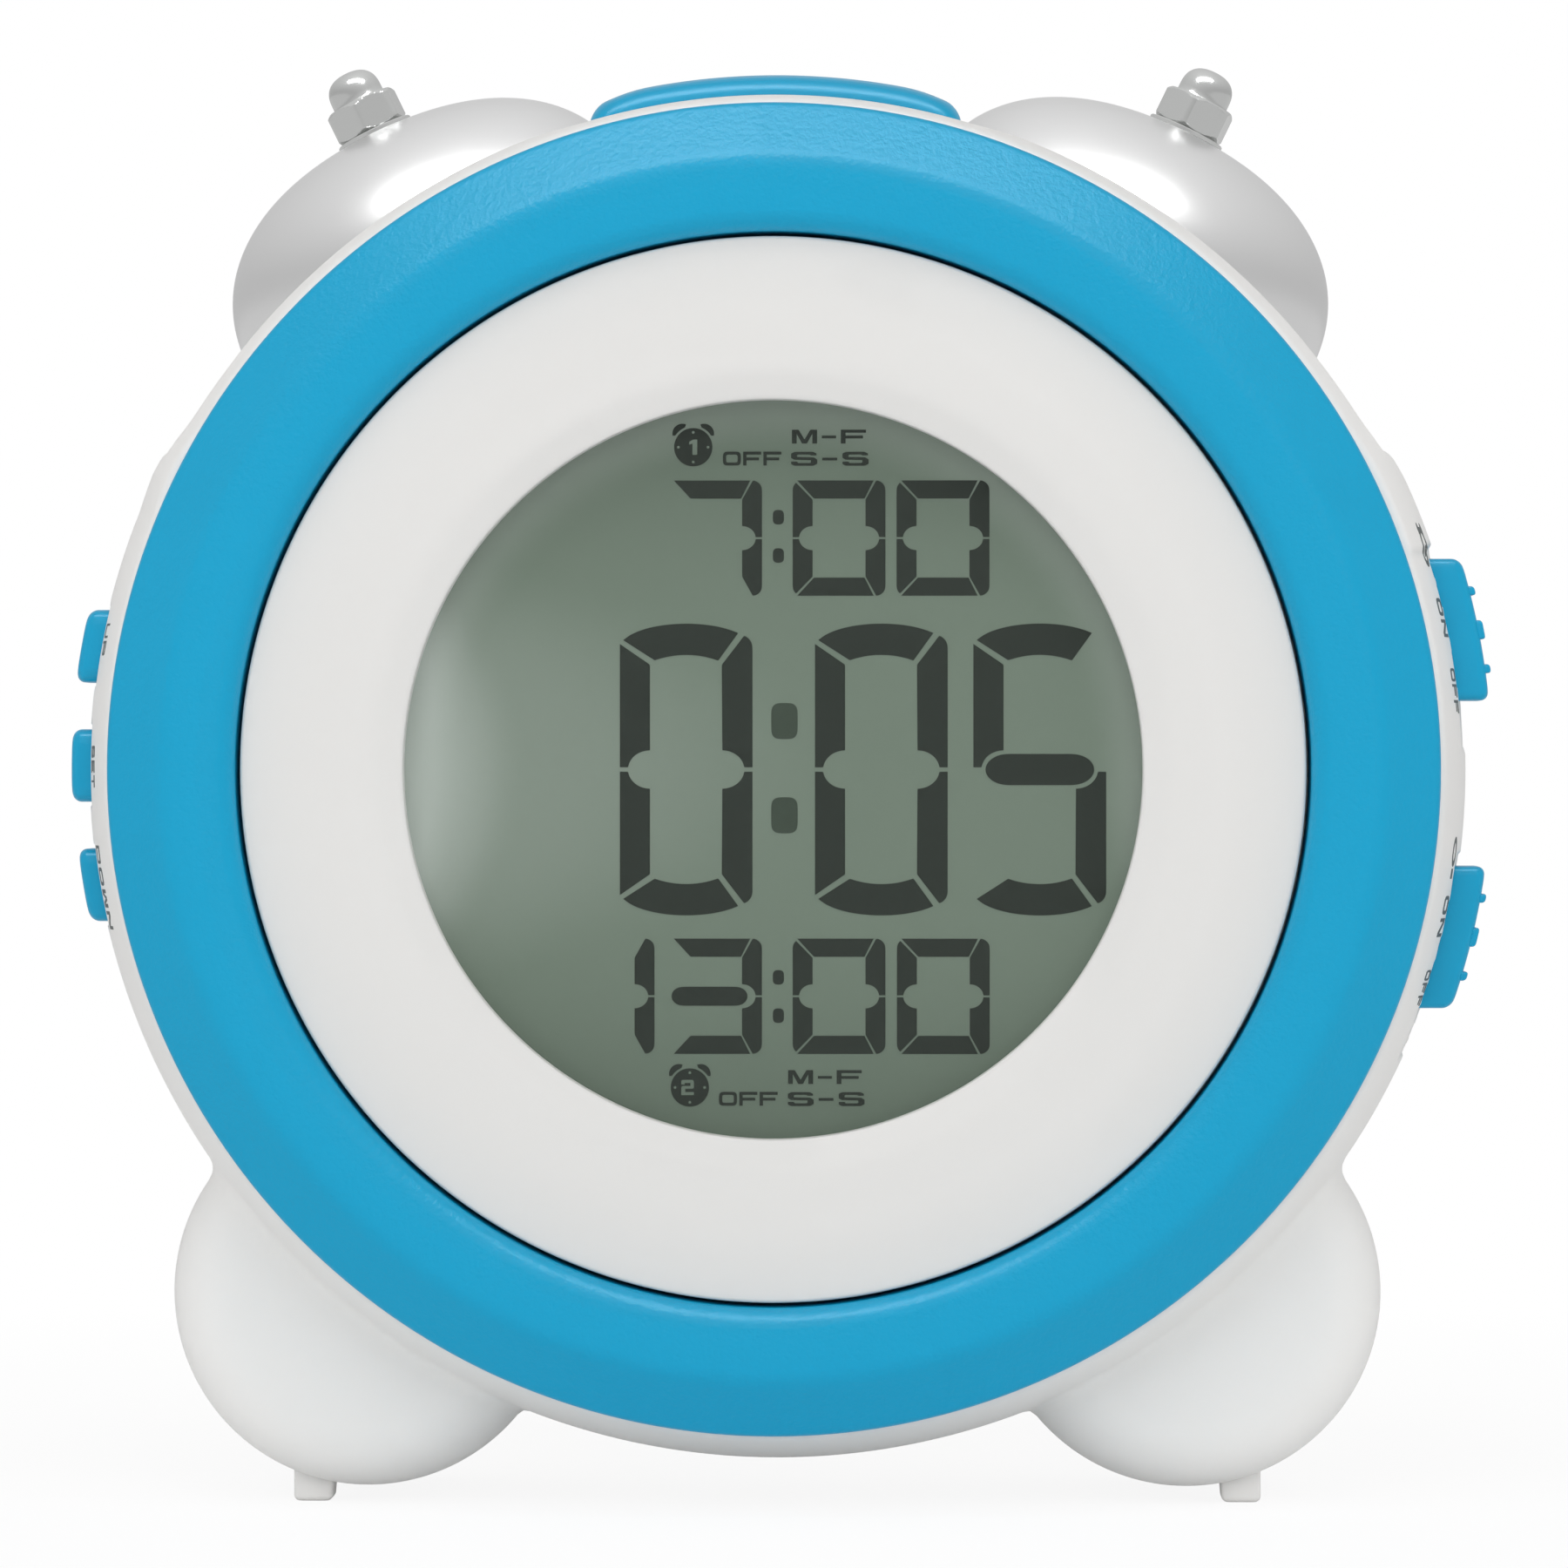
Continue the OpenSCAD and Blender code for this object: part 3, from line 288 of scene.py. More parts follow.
def mould(solid: Field, low: Sequence[float], high: Sequence[float],
          cell: float) -> tuple[Grid, Grid]:
    """Lays an even net of four-sided faces over a solid.

    Args:
        solid: Gives the distance outside the solid, negative inside it.
        low: Lowest x, y and t of the space that holds it.
        high: Highest x, y and t.
        cell: Size of the net's meshes.

    Returns:
        The net's points in mm, and the corners of each face as point numbers.
    """
    axes = [np.arange(a, b + cell, cell) for a, b in zip(low, high)]
    values = solid(*np.meshgrid(*axes, indexing="ij", sparse=True))
    inside = values < 0
    count = np.zeros([n - 1 for n in inside.shape], dtype=np.int8)
    for i in (0, 1):
        for j in (0, 1):
            for k in (0, 1):
                count += inside[i:inside.shape[0] - 1 + i, j:inside.shape[1] - 1 + j,
                                k:inside.shape[2] - 1 + k]
    mixed = (count > 0) & (count < 8)
    number = np.full(mixed.shape, -1)
    cells = np.argwhere(mixed)
    number[mixed] = np.arange(len(cells))
    total = np.zeros(cells.shape)
    hits = np.zeros(len(cells))
    for axis in range(3):
        u, v = [a for a in range(3) if a != axis]
        for i in (0, 1):
            for j in (0, 1):
                start = cells.copy()
                start[:, u] += i
                start[:, v] += j
                end = start.copy()
                end[:, axis] += 1
                a, b = values[tuple(start.T)], values[tuple(end.T)]
                crossed = (a < 0) != (b < 0)
                place = start.astype(float)
                place[:, axis] += np.where(crossed, a / np.where(crossed, a - b, 1.0), 0.0)
                total[crossed] += place[crossed]
                hits += crossed
    points = np.array([a[0] for a in axes]) + total / hits[:, None] * cell
    for _ in range(4):
        slope = slope_of(solid, points)
        steep = np.maximum((slope**2).sum(axis=1), 0.3)
        move = slope * (solid(*points.T) / steep)[:, None]
        points -= np.clip(move, -cell / 3, cell / 3)
    faces = []
    for axis in range(3):
        u, v = (axis + 1) % 3, (axis + 2) % 3
        first = np.take(inside, range(inside.shape[axis] - 1), axis)
        second = np.take(inside, range(1, inside.shape[axis]), axis)
        where = np.argwhere(first != second)
        fits = ((where[:, u] > 0) & (where[:, v] > 0) & (where[:, u] < mixed.shape[u])
                & (where[:, v] < mixed.shape[v]))
        where = where[fits]
        corners = []
        for i, j in ((1, 1), (0, 1), (0, 0), (1, 0)):
            at = where.copy()
            at[:, u] -= i
            at[:, v] -= j
            corners.append(number[tuple(at.T)])
        quads = np.stack(corners, axis=1)
        outward = first[tuple(where.T)]
        quads[outward] = quads[outward][:, ::-1]
        faces.append(quads)
    return points, np.concatenate(faces)


# ---------------------------------------------------------------- finishes


class Graph:
    """A node tree with short calls for adding and joining nodes."""

    def __init__(self, tree: bpy.types.NodeTree) -> None:
        """Wraps a node tree."""
        self.tree = tree

    def add(self, kind: str, sockets: dict | None = None, **settings: object) -> bpy.types.Node:
        """Adds a node.

        Args:
            kind: The node's type name without its ShaderNode beginning.
            sockets: Values or other sockets for its inputs, by name or number.
            **settings: Values for the node's own properties.

        Returns:
            The new node.
        """
        node = self.tree.nodes.new("ShaderNode" + kind)
        for key, value in settings.items():
            setattr(node, key, value)
        for key, value in (sockets or {}).items():
            if isinstance(value, bpy.types.NodeSocket):
                self.tree.links.new(value, node.inputs[key])
            else:
                node.inputs[key].default_value = value
        return node

    def math(self, kind: str, a: object, b: object = 0.0) -> bpy.types.NodeSocket:
        """Adds a Math node and gives its output."""
        return self.add("Math", {0: a, 1: b}, operation=kind).outputs[0]


class Effects:
    """Node groups that several finishes share, each built once."""

    def __init__(self) -> None:
        """Builds every group."""
        self.grain = self._grain()
        self.handling = self._handling()

    @staticmethod
    def _open(name: str, inputs: Iterable[tuple[str, str, object]],
              outputs: Iterable[tuple[str, str]]) -> tuple[bpy.types.NodeTree, Graph]:
        """Starts a group with the sockets it shows.

        Args:
            name: The group's name.
            inputs: Name, socket type and first value of each input.
            outputs: Name and socket type of each output.

        Returns:
            The group and a graph that adds to it.
        """
        tree = bpy.data.node_groups.new(name, "ShaderNodeTree")
        for label, kind, value in inputs:
            socket = tree.interface.new_socket(label, in_out="INPUT", socket_type=kind)
            socket.default_value = value
        for label, kind in outputs:
            tree.interface.new_socket(label, in_out="OUTPUT", socket_type=kind)
        return tree, Graph(tree)

    def _grain(self) -> bpy.types.NodeTree:
        """Builds the fine pebble of a spark-eroded mould."""
        tree, g = self._open(
            "MouldGrain",
            [("Pitch", "NodeSocketFloat", 2500.0), ("Depth", "NodeSocketFloat", 1e-5)],
            [("Height", "NodeSocketFloat")])
        ins = tree.nodes.new("NodeGroupInput")
        outs = tree.nodes.new("NodeGroupOutput")
        where = g.add("TexCoord").outputs["Object"]
        pebble = g.add("TexNoise", {"Vector": where, "Scale": ins.outputs["Pitch"], "Detail": 2.0,
                                    "Roughness": 0.6})
        lift = g.math("SUBTRACT", pebble.outputs[0], 0.5)
        tree.links.new(g.math("MULTIPLY", lift, ins.outputs["Depth"]), outs.inputs["Height"])
        return tree

    def _handling(self) -> bpy.types.NodeTree:
        """Builds the slow drift of tone and gloss that moulding and handling leave."""
        tree, g = self._open(
            "HandlingDrift",
            [("Colour", "NodeSocketColor", (1, 1, 1, 1)), ("Drift", "NodeSocketFloat", 0.02),
             ("Roughness", "NodeSocketFloat", 0.4), ("Smudge", "NodeSocketFloat", 0.04)],
            [("Colour", "NodeSocketColor"), ("Roughness", "NodeSocketFloat")])
        ins = tree.nodes.new("NodeGroupInput")
        outs = tree.nodes.new("NodeGroupOutput")
        where = g.add("TexCoord").outputs["Object"]
        slow = g.add("TexNoise", {"Vector": where, "Scale": 28.0, "Detail": 3.0})
        quick = g.add("TexNoise", {"Vector": where, "Scale": 190.0, "Detail": 4.0,
                                   "Roughness": 0.65})
        shift = g.math("MULTIPLY", g.math("SUBTRACT", slow.outputs[0], 0.5), ins.outputs["Drift"])
        tone = g.add("HueSaturation", {"Value": g.math("ADD", shift, 1.0),
                                       "Color": ins.outputs["Colour"]})
        smear = g.math("MULTIPLY", g.math("SUBTRACT", quick.outputs[0], 0.5),
                       ins.outputs["Smudge"])
        tree.links.new(tone.outputs[0], outs.inputs["Colour"])
        tree.links.new(g.math("ADD", ins.outputs["Roughness"], smear), outs.inputs["Roughness"])
        return tree


@dataclass(frozen=True)
class Finish:
    """A surface with grain, a slow drift of tone and a smear of gloss."""

    colour: Colour
    roughness: float
    metallic: float = 0.0
    pitch: float = 2500.0
    depth: float = 4e-6
    drift: float = 0.03
    smudge: float = 0.05
    coat: float = 0.0
    alpha: float = 1.0
    specular: float = 0.5
    transmission: float = 0.0
    glow: float = 0.0
    base_share: float = 1.0

    def tint(self, g: Graph) -> object:
        """Gives the colour, or a socket that draws it, before its drift."""
        return self.colour

    def build(self, name: str, effects: Effects) -> bpy.types.Material:
        """Makes the material.

        Args:
            name: The material's name.
            effects: The shared node groups.

        Returns:
            The material, ready to assign.
        """
        material = bpy.data.materials.new(name)
        material.use_nodes = True
        tree = material.node_tree
        tree.nodes.clear()
        g = Graph(tree)
        group = g.add("Group", node_tree=effects.handling)
        for key, value in (("Colour", self.tint(g)), ("Drift", self.drift),
                           ("Roughness", self.roughness), ("Smudge", self.smudge)):
            if isinstance(value, bpy.types.NodeSocket):
                tree.links.new(value, group.inputs[key])
            else:
                group.inputs[key].default_value = value
        grain = g.add("Group", node_tree=effects.grain)
        grain.inputs["Pitch"].default_value = self.pitch
        grain.inputs["Depth"].default_value = self.depth
        bump = g.add("Bump", {"Strength": 1.0, "Distance": 1.0,
                              "Height": grain.outputs["Height"]})
        dimmed = g.add("HueSaturation", {"Value": self.base_share,
                                         "Color": group.outputs["Colour"]})
        shader = g.add("BsdfPrincipled", {
            "Base Color": dimmed.outputs[0], "Roughness": group.outputs["Roughness"],
            "Emission Color": group.outputs["Colour"],
            "Normal": bump.outputs[0], "Metallic": self.metallic, "Coat Weight": self.coat,
            "Coat Roughness": COAT_ROUGHNESS, "Alpha": self.alpha,
            "Specular IOR Level": self.specular, "IOR": PLASTIC_IOR,
            "Transmission Weight": self.transmission, "Emission Strength": self.glow,
        })
        out = g.add("OutputMaterial")
        tree.links.new(shader.outputs[0], out.inputs["Surface"])
        return material


@dataclass(frozen=True)
class LiquidCrystal(Finish):
    """The grey-green cell of the display, paler where its lamp lights the left edge."""

    lit: Colour = (0.35, 0.40, 0.36, 1.0)
    deep: Colour = (0.12, 0.16, 0.125, 1.0)
    radius: float = 36.5

    def tint(self, g: Graph) -> object:
        """Draws the cell's colour: a painted glow of its lamp over the left side and edge, a darker
        top and foot, and paler sides and top painted over the shade of the ring's recess.
        """
        where = g.add("SeparateXYZ", {0: g.add("TexCoord").outputs["Object"]})
        across = g.math("DIVIDE", where.outputs["X"], self.radius * MM)
        up = g.math("DIVIDE", g.math("SUBTRACT", where.outputs["Z"], DIAL_H * MM),
                    self.radius * MM)
        rise = g.math("MULTIPLY", up, up)
        body = g.add("MapRange", {"Value": rise, "From Min": 0.0, "From Max": 0.9,
                                  "To Min": 1.0, "To Max": 0.0}, interpolation_type="SMOOTHSTEP")
        base = g.add("Mix", {"Factor": body.outputs[0], "A": self.deep, "B": self.colour},
                     data_type="RGBA")
        edge = g.math("ADD", across, g.math("MULTIPLY", rise, 0.85))
        share: object = 0.0
        # Painted light: the first two ramps paint the lamp's glow over the left side and its edge;
        # the third paints the sides and the top paler, a painted highlight that offsets the shade
        # of the recess.
        for value, low, high, most in (
                (g.math("ADD", across, g.math("MULTIPLY", rise, 3.0)), 0.3, -0.7, 0.22),
                (edge, -0.66, -0.96, 0.68),
                (g.math("ADD", g.math("MULTIPLY", across, across),
                        g.math("MULTIPLY", up, g.math("ABSOLUTE", up))), 0.72, 1.0, 0.3)):
            ramp = g.add("MapRange", {"Value": value, "From Min": low, "From Max": high,
                                      "To Min": 0.0, "To Max": most},
                         interpolation_type="SMOOTHSTEP")
            share = g.math("ADD", ramp.outputs[0], share)
        return g.add("Mix", {"Factor": share, "A": base.outputs["Result"],
                             "B": self.lit}, data_type="RGBA").outputs["Result"]


class Slot(Enum):
    """The record's material slots."""

    SHELL = "shell"
    BEZEL = "bezel"
    BUTTONS = "buttons"
    RING = "ring_face"
    WINDOW = "window"
    DISPLAY = "display"
    GUIDE = "light_guide"
    LED = "led"
    INNER = "inner_plastic"
    ELASTOMER = "elastomer"
    BOARD = "board"
    BLACK = "black_plastic"
    SWITCH = "switch_metal"
    BELL = "bell_metal"
    NUT = "nut_metal"
    SCREW = "screw_metal"
    CELL = "cell"
    CONTACT = "contact"
    MAGNET = "magnet"


WHITE = paint(235, 234, 232)
BLUE = paint(0, 154, 196)

FINISHES: dict[Slot, Finish] = {
    Slot.SHELL: Finish(WHITE, 0.5, depth=3e-6, specular=0.25),
    Slot.BEZEL: Finish(BLUE, 0.36, pitch=1700.0, depth=8e-5, specular=0.3),
    Slot.BUTTONS: Finish(BLUE, 0.3, pitch=2000.0, depth=2e-5, specular=0.34),
    Slot.RING: Finish(paint(218, 217, 215), 0.5, depth=2e-6, specular=0.2),
    Slot.WINDOW: Finish((0.01, 0.012, 0.011, 1.0), 0.05, depth=0.0, alpha=0.06, drift=0.0),
    # The cell glows a little as its backlight, and the glow also paints light into the shade of its
    # recess; its base colour is dimmed to match.
    Slot.DISPLAY: LiquidCrystal(paint(122, 137, 123), 0.5, depth=1e-6, drift=0.02,
                                specular=0.1, glow=0.35, base_share=0.65,
                                lit=paint(182, 192, 184), deep=paint(109, 123, 110)),
    Slot.GUIDE: Finish((0.85, 0.9, 0.87, 1.0), 0.1, depth=0.0, transmission=0.8),
    Slot.LED: Finish((0.9, 0.82, 0.35, 1.0), 0.3, coat=0.5),
    Slot.INNER: Finish(paint(226, 225, 220), 0.5),
    Slot.ELASTOMER: Finish(paint(52, 52, 56), 0.8),
    Slot.BOARD: Finish(paint(30, 92, 52), 0.35, coat=0.4, drift=0.25),
    Slot.BLACK: Finish(paint(24, 24, 26), 0.4),
    Slot.SWITCH: Finish(paint(190, 190, 188), 0.3, metallic=1.0),
    Slot.BELL: Finish(paint(236, 236, 236), 0.31, metallic=1.0, depth=0.0, smudge=0.06),
    Slot.NUT: Finish(paint(212, 213, 212), 0.19, metallic=1.0, depth=0.0, smudge=0.12),
    Slot.SCREW: Finish(paint(172, 172, 170), 0.3, metallic=1.0),
    Slot.CELL: Finish(paint(40, 44, 50), 0.35, coat=0.6),
    Slot.CONTACT: Finish(paint(196, 194, 186), 0.28, metallic=1.0),
    Slot.MAGNET: Finish(paint(70, 70, 74), 0.45, metallic=1.0),
}


class Shelf:
    """Keeps one material for each slot, and a few more for printed marks."""

    def __init__(self) -> None:
        """Builds the shared effects and every slot's material."""
        self.effects = Effects()
        self.materials = {slot: finish.build(slot.value, self.effects)
                          for slot, finish in FINISHES.items()}
        self.ink = Finish(paint(84, 90, 90), 0.6).build("printed_ink", self.effects)
        self.segment = Finish(paint(55, 61, 56), 0.5, depth=1e-6, specular=0.1).build(
            "lcd_segment", self.effects)
        self.pale_segment = Finish(paint(72, 83, 73), 0.5, depth=1e-6, specular=0.1).build(
            "lcd_pale", self.effects)

    def dress_nodes(self) -> None:
        """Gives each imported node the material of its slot."""
        for entry in frame["record"]["subparts"]:
            slot = Slot(entry["material_slot"])
            piece = frame["nodes"][entry["node"]]
            piece.data.materials.clear()
            piece.data.materials.append(self.materials[slot])
            LOG.info("dressed %s as %s", entry["node"], slot.value)


@dataclass
class Bench:
    """Turns finished meshes into pieces that ride on a body."""

    shelf: Shelf
    made: list[str] = field(default_factory=list)

    def place(self, name: str, bm: bmesh.types.BMesh, slot: Slot, body: str,
              stands_for: Sequence[str] = (), sharp: float = 32.0,
              material: bpy.types.Material | None = None) -> bpy.types.Object:
        """Makes a piece from a mesh.

        Args:
            name: The piece's name.
            bm: Its mesh, which is freed.
            slot: The material slot that it takes.
            body: The body that it rides on.
            stands_for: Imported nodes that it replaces.
            sharp: Edges that bend by more degrees than this stay crisp.
            material: A material to use in place of the slot's own.

        Returns:
            The new piece.
        """
        bmesh.ops.remove_doubles(bm, verts=bm.verts, dist=1e-7)
        bmesh.ops.recalc_face_normals(bm, faces=bm.faces)
        mesh = bpy.data.meshes.new(name)
        bm.to_mesh(mesh)
        bm.free()
        mesh.shade_smooth()
        mesh.set_sharp_from_angle(angle=math.radians(sharp))
        return self._settle(name, mesh, slot, body, stands_for, material)

    def place_mould(self, name: str, solid: Field, low: Sequence[float], high: Sequence[float],
                    cell: float, slot: Slot, body: str,
                    stands_for: Sequence[str] = ()) -> bpy.types.Object:
        """Makes a piece from a solid that is given by its distances.

        Args:
            name: The piece's name.
            solid: Gives the distance outside the solid in mm.
            low: Lowest x, y and t of the space that holds it.
            high: Highest x, y and t.
            cell: Size of the net's meshes.
            slot: The material slot that it takes.
            body: The body that it rides on.
            stands_for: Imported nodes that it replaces.

        Returns:
            The new piece.
        """
        points, faces = mould(solid, low, high, cell)
        normals = slope_of(solid, points)
        normals /= np.maximum(np.linalg.norm(normals, axis=1), 1e-9)[:, None]
        world = (points[:, [0, 2, 1]] + (0.0, -FRONT, DIAL_H)) * MM
        mesh = bpy.data.meshes.new(name)
        mesh.from_pydata(world.tolist(), [], faces.tolist())
        mesh.shade_smooth()
        mesh.normals_split_custom_set_from_vertices(normals[:, [0, 2, 1]].tolist())
        return self._settle(name, mesh, slot, body, stands_for, None)

    def _settle(self, name: str, mesh: bpy.types.Mesh, slot: Slot, body: str,
                stands_for: Sequence[str],
                material: bpy.types.Material | None) -> bpy.types.Object:
        """Puts a finished mesh into the scene as a piece that rides on a body."""
        mesh.materials.append(material or self.shelf.materials[slot])
        piece = bpy.data.objects.new(name, mesh)
        bpy.context.scene.collection.objects.link(piece)
        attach(piece, body)
        if stands_for:
            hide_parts(*stands_for)
        self.made.append(name)
        LOG.info("made %s: %d faces on %s", name, len(mesh.polygons), body)
        return piece


# ---------------------------------------------------------------- housing


@dataclass
class Housing:
    """The two halves of the white case, with its bulbs, its saddle and its openings."""

    case_r: float = 69.45
    widest_t: float = 26.0
    front_arc: float = 50.95
    back_arc: float = 50.616
    face_t: float = 8.5
    back_t: float = 66.0
    wall: float = 2.2
    split_t: float = 30.0
    seam: float = 0.08
    shoulder: float = 28.0
    saddle_r: float = 55.0
    rim_t: float = 15.6
    rim_turns: tuple[float, ...] = (0.0, 17.0, 21.0, 54.0, 58.0, 60.0, 62.0, 64.5, 68.0)
    rim_radii: tuple[float, ...] = (67.3, 67.3, 67.65, 68.1, 68.3, 68.55, 69.35, 70.2, 72.0)
    swell: float = 0.33
    bulb: Size = (41.22, -52.57, 19.6)
    bulb_span: Point = (17.0, 56.0)
    bulb_round: float = 6.0
    bulb_fillet: float = 1.5
    turret: Size = (20.4, 13.0, 26.0)
    turret_y: Point = (50.8, 62.0)
    front_hole: float = 52.5
    lip_t: float = 11.7
    side_y: Size = (12.4, 0.4, -11.6)
    side_half: float = 3.95
    side_span: Point = (17.7, 26.3)
    side_floor: float = 63.2
    knob_y: Point = (12.25, -18.55)
    slot_half: float = 5.05
    slot_span: Point = (19.7, 24.3)
    pocket_half: float = 9.0
    pocket_span: Point = (17.2, 26.8)
    pocket_deep: float = 1.5
    pocket_fade: float = 1.3
    backing_half: float = 11.5
    backing_span: Point = (15.5, 28.5)
    backing: float = 1.2
    top_half: float = 18.9
    top_span: Point = (14.0, 23.2)
    top_floor: float = 61.5
    screw_ring: float = 60.0
    screw_at: tuple[float, ...] = (21.767, 158.233, 222.0, 318.0)
    screw_bore: Point = (1.35, 1.5)
    screw_head: float = 2.9
    post_r: Point = (3.5, 4.2)
    bell_post: Size = (4.6, 1.05, 23.8)
    bell_pad: Size = (5.6, 23.7, 27.17)
    bolt: Point = (2.1, 28.0)
    bay_wall: float = 1.5
    bay: tuple[float, float, float, float] = (57.5, 45.3, -14.0, 49.1)
    door_rim: float = 1.4
    door_t: float = 64.1
    notch_r: float = 5.0
    speaker_y: float = 29.0
    collar: Point = (15.2, 0.6)
    ears: Point = (18.9, 2.8)
    collar_span: Point = (61.6, 64.5)
    grille_r: float = 13.2
    grille_t: float = 60.0
    sound_hole: float = 0.9
    peg: Size = (3.9, 5.0, 4.6)
    peg_at: Point = (46.82, -69.27)
    peg_t: Point = (25.5, 47.5)
    cell: float = 0.74

    def _rim(self, x: Grid, y: Grid) -> tuple[Grid, Grid]:
        """Gives the rim's radius at each turn from the top, and how far the shoulder swells."""
        turn = np.degrees(np.arctan2(np.abs(x), y))
        swell = np.where(x > 0, self.swell_at(1, turn), self.swell_at(-1, turn))
        return np.interp(turn, self.rim_turns, self.rim_radii), swell

    def swell_at(self, side: int, turn: Grid | float) -> Grid | float:
        """Gives how far a shoulder swells at a turn from the top. The right one ends in a step."""
        ends = (59.0, 63.0, 71.0, 71.6) if side > 0 else (59.0, 62.0, 64.5, 68.0)
        return np.interp(turn, ends, (0.0, self.swell, self.swell, 0.0))

    def form(self, x: Grid, y: Grid, t: Grid) -> Grid:
        """Gives the distance outside the case's closed outer form."""
        rho = np.hypot(x, y)
        front = self.case_r - self.front_arc
        back = self.case_r - self.back_arc
        barrel = np.where(
            t < self.widest_t,
            np.hypot(np.maximum(rho - front, 0), t - self.widest_t) - self.front_arc,
            np.hypot(np.maximum(rho - back, 0), t - self.widest_t) - self.back_arc)
        rim, swell = self._rim(x, y)
        barrel = shared(barrel - swell, self.face_t - t, 0.8)
        barrel = shared(barrel, t - self.back_t, 2.6)
        a = math.radians(self.shoulder)
        wedge = np.abs(x) * math.sin(a) - y * math.cos(a)
        deep = shared(shared(wedge, self.saddle_r - rho, 3.0), self.rim_t - t, 2.4)
        wide, foot, turret_t = self.turret
        low, knee = self.turret_y
        half = foot + (wide - foot) * np.clip((y - low) / (knee - low), 0.0, 1.0)
        turret = np.maximum(np.maximum(np.abs(x) - half, t - turret_t), low - y)
        body = cut(barrel, cut(deep, turret, 1.4), 1.6)
        body = shared(body, rho - rim, 1.0)
        bx, by, r = self.bulb
        t0, t1 = self.bulb_span
        out = np.hypot(np.abs(x) - bx, y - by) - (r - self.bulb_round)
        along = np.abs(t - (t0 + t1) / 2) - ((t1 - t0) / 2 - self.bulb_round)
        bulb = (np.hypot(np.maximum(out, 0), np.maximum(along, 0))
                + np.minimum(np.maximum(out, along), 0) - self.bulb_round)
        inner = np.clip((np.abs(x) - 27.0) / 14.0, 0.0, 1.0)
        return joined(body, bulb, self.bulb_fillet * (0.5 + 0.5 * inner))

    def _from_screws(self, x: Grid, y: Grid) -> list[Grid]:
        """Gives the distance from the axis of each case screw."""
        return [np.hypot(x - self.screw_ring * math.cos(a), y - self.screw_ring * math.sin(a))
                for a in map(math.radians, self.screw_at)]

    def _drilled(self, x: Grid, y: Grid, solid: Grid, radius: float, through: Grid,
                 soft: float = 0.3) -> Grid:
        """Drills a hole at each case screw."""
        for out in self._from_screws(x, y):
            solid = cut(solid, np.maximum(out - radius, through), soft)
        return solid

    def _posts(self, x: Grid, y: Grid, solid: Grid, radius: float, span: Grid) -> Grid:
        """Adds a post at each case screw."""
        for out in self._from_screws(x, y):
            solid = np.minimum(solid, np.maximum(out - radius, span))
        return solid

    def _knob_bay(self, x: Grid, y: Grid, t: Grid, form: Grid, solid: Grid,
                  middle: float) -> Grid:
        """Sinks the pocket and the slot of one slide knob into a wall that is thicker there."""
        thick = slab((y, middle - self.backing_half, middle + self.backing_half),
                     (t, *self.backing_span), (x, 50.0, FAR))
        thick = np.maximum(np.maximum(thick, form), -form - self.wall - self.backing)
        solid = np.minimum(solid, thick)
        past = np.maximum(np.abs(y - middle) - self.pocket_half, 0.0)
        deep = self.pocket_deep - self.pocket_fade * past
        pocket = slab((t, *self.pocket_span), (x, 50.0, FAR))
        solid = cut(solid, np.maximum(pocket, -deep - form), 0.3)
        slot = slab((y, middle - self.slot_half, middle + self.slot_half), (t, *self.slot_span),
                    (x, 60.0, FAR))
        return cut(solid, slot, 0.4)

    def front_half(self, x: Grid, y: Grid, t: Grid) -> Grid:
        """Gives the distance outside the front shell."""
        form = self.form(x, y, t)
        solid = np.maximum(form, -form - self.wall)
        span = np.maximum(np.maximum(10.0 - t, t - self.split_t), form + 1.0)
        solid = self._posts(x, y, solid, self.post_r[0], span)
        rho = np.hypot(x, y)
        solid = cut(solid, np.maximum(rho - self.front_hole, t - self.lip_t), 0.4)
        for middle in self.side_y:
            hole = slab((y, middle - self.side_half, middle + self.side_half),
                        (t, *self.side_span), (x, -FAR, -self.side_floor))
            solid = cut(solid, hole, 0.35)
        for middle in self.knob_y:
            solid = self._knob_bay(x, y, t, form, solid, middle)
        hole = slab((x, -self.top_half, self.top_half), (t, *self.top_span),
                    (y, self.top_floor, FAR))
        solid = cut(solid, hole, 0.6)
        solid = self._drilled(x, y, solid, self.screw_bore[0], 22.0 - t)
        return shared(solid, t - self.split_t + self.seam, 0.5)

    def rear_half(self, x: Grid, y: Grid, t: Grid) -> Grid:
        """Gives the distance outside the rear shell."""
        form = self.form(x, y, t)
        solid = np.maximum(form, -form - self.wall)
        solid = self._posts(x, y, solid, self.post_r[1], np.maximum(self.split_t - t, form + 1.1))
        axes = [Bells().on_axis(side, x, y, t) for side in (-1, 1)]
        for out, down in axes:
            post, pad = (np.maximum(out - r, np.maximum(start - down, down - end))
                         for r, start, end in (self.bell_post, self.bell_pad))
            solid = joined(solid, np.minimum(post, pad), 1.2)
        wide, high, mid, deep = self.bay

        def around_bay(more: float, start: float, end: float) -> Grid:
            """Gives the bay's box with more on each side, from one depth to another."""
            return slab((x, -wide / 2 - more, wide / 2 + more),
                        (y, mid - high / 2 - more, mid + high / 2 + more), (t, start, end))

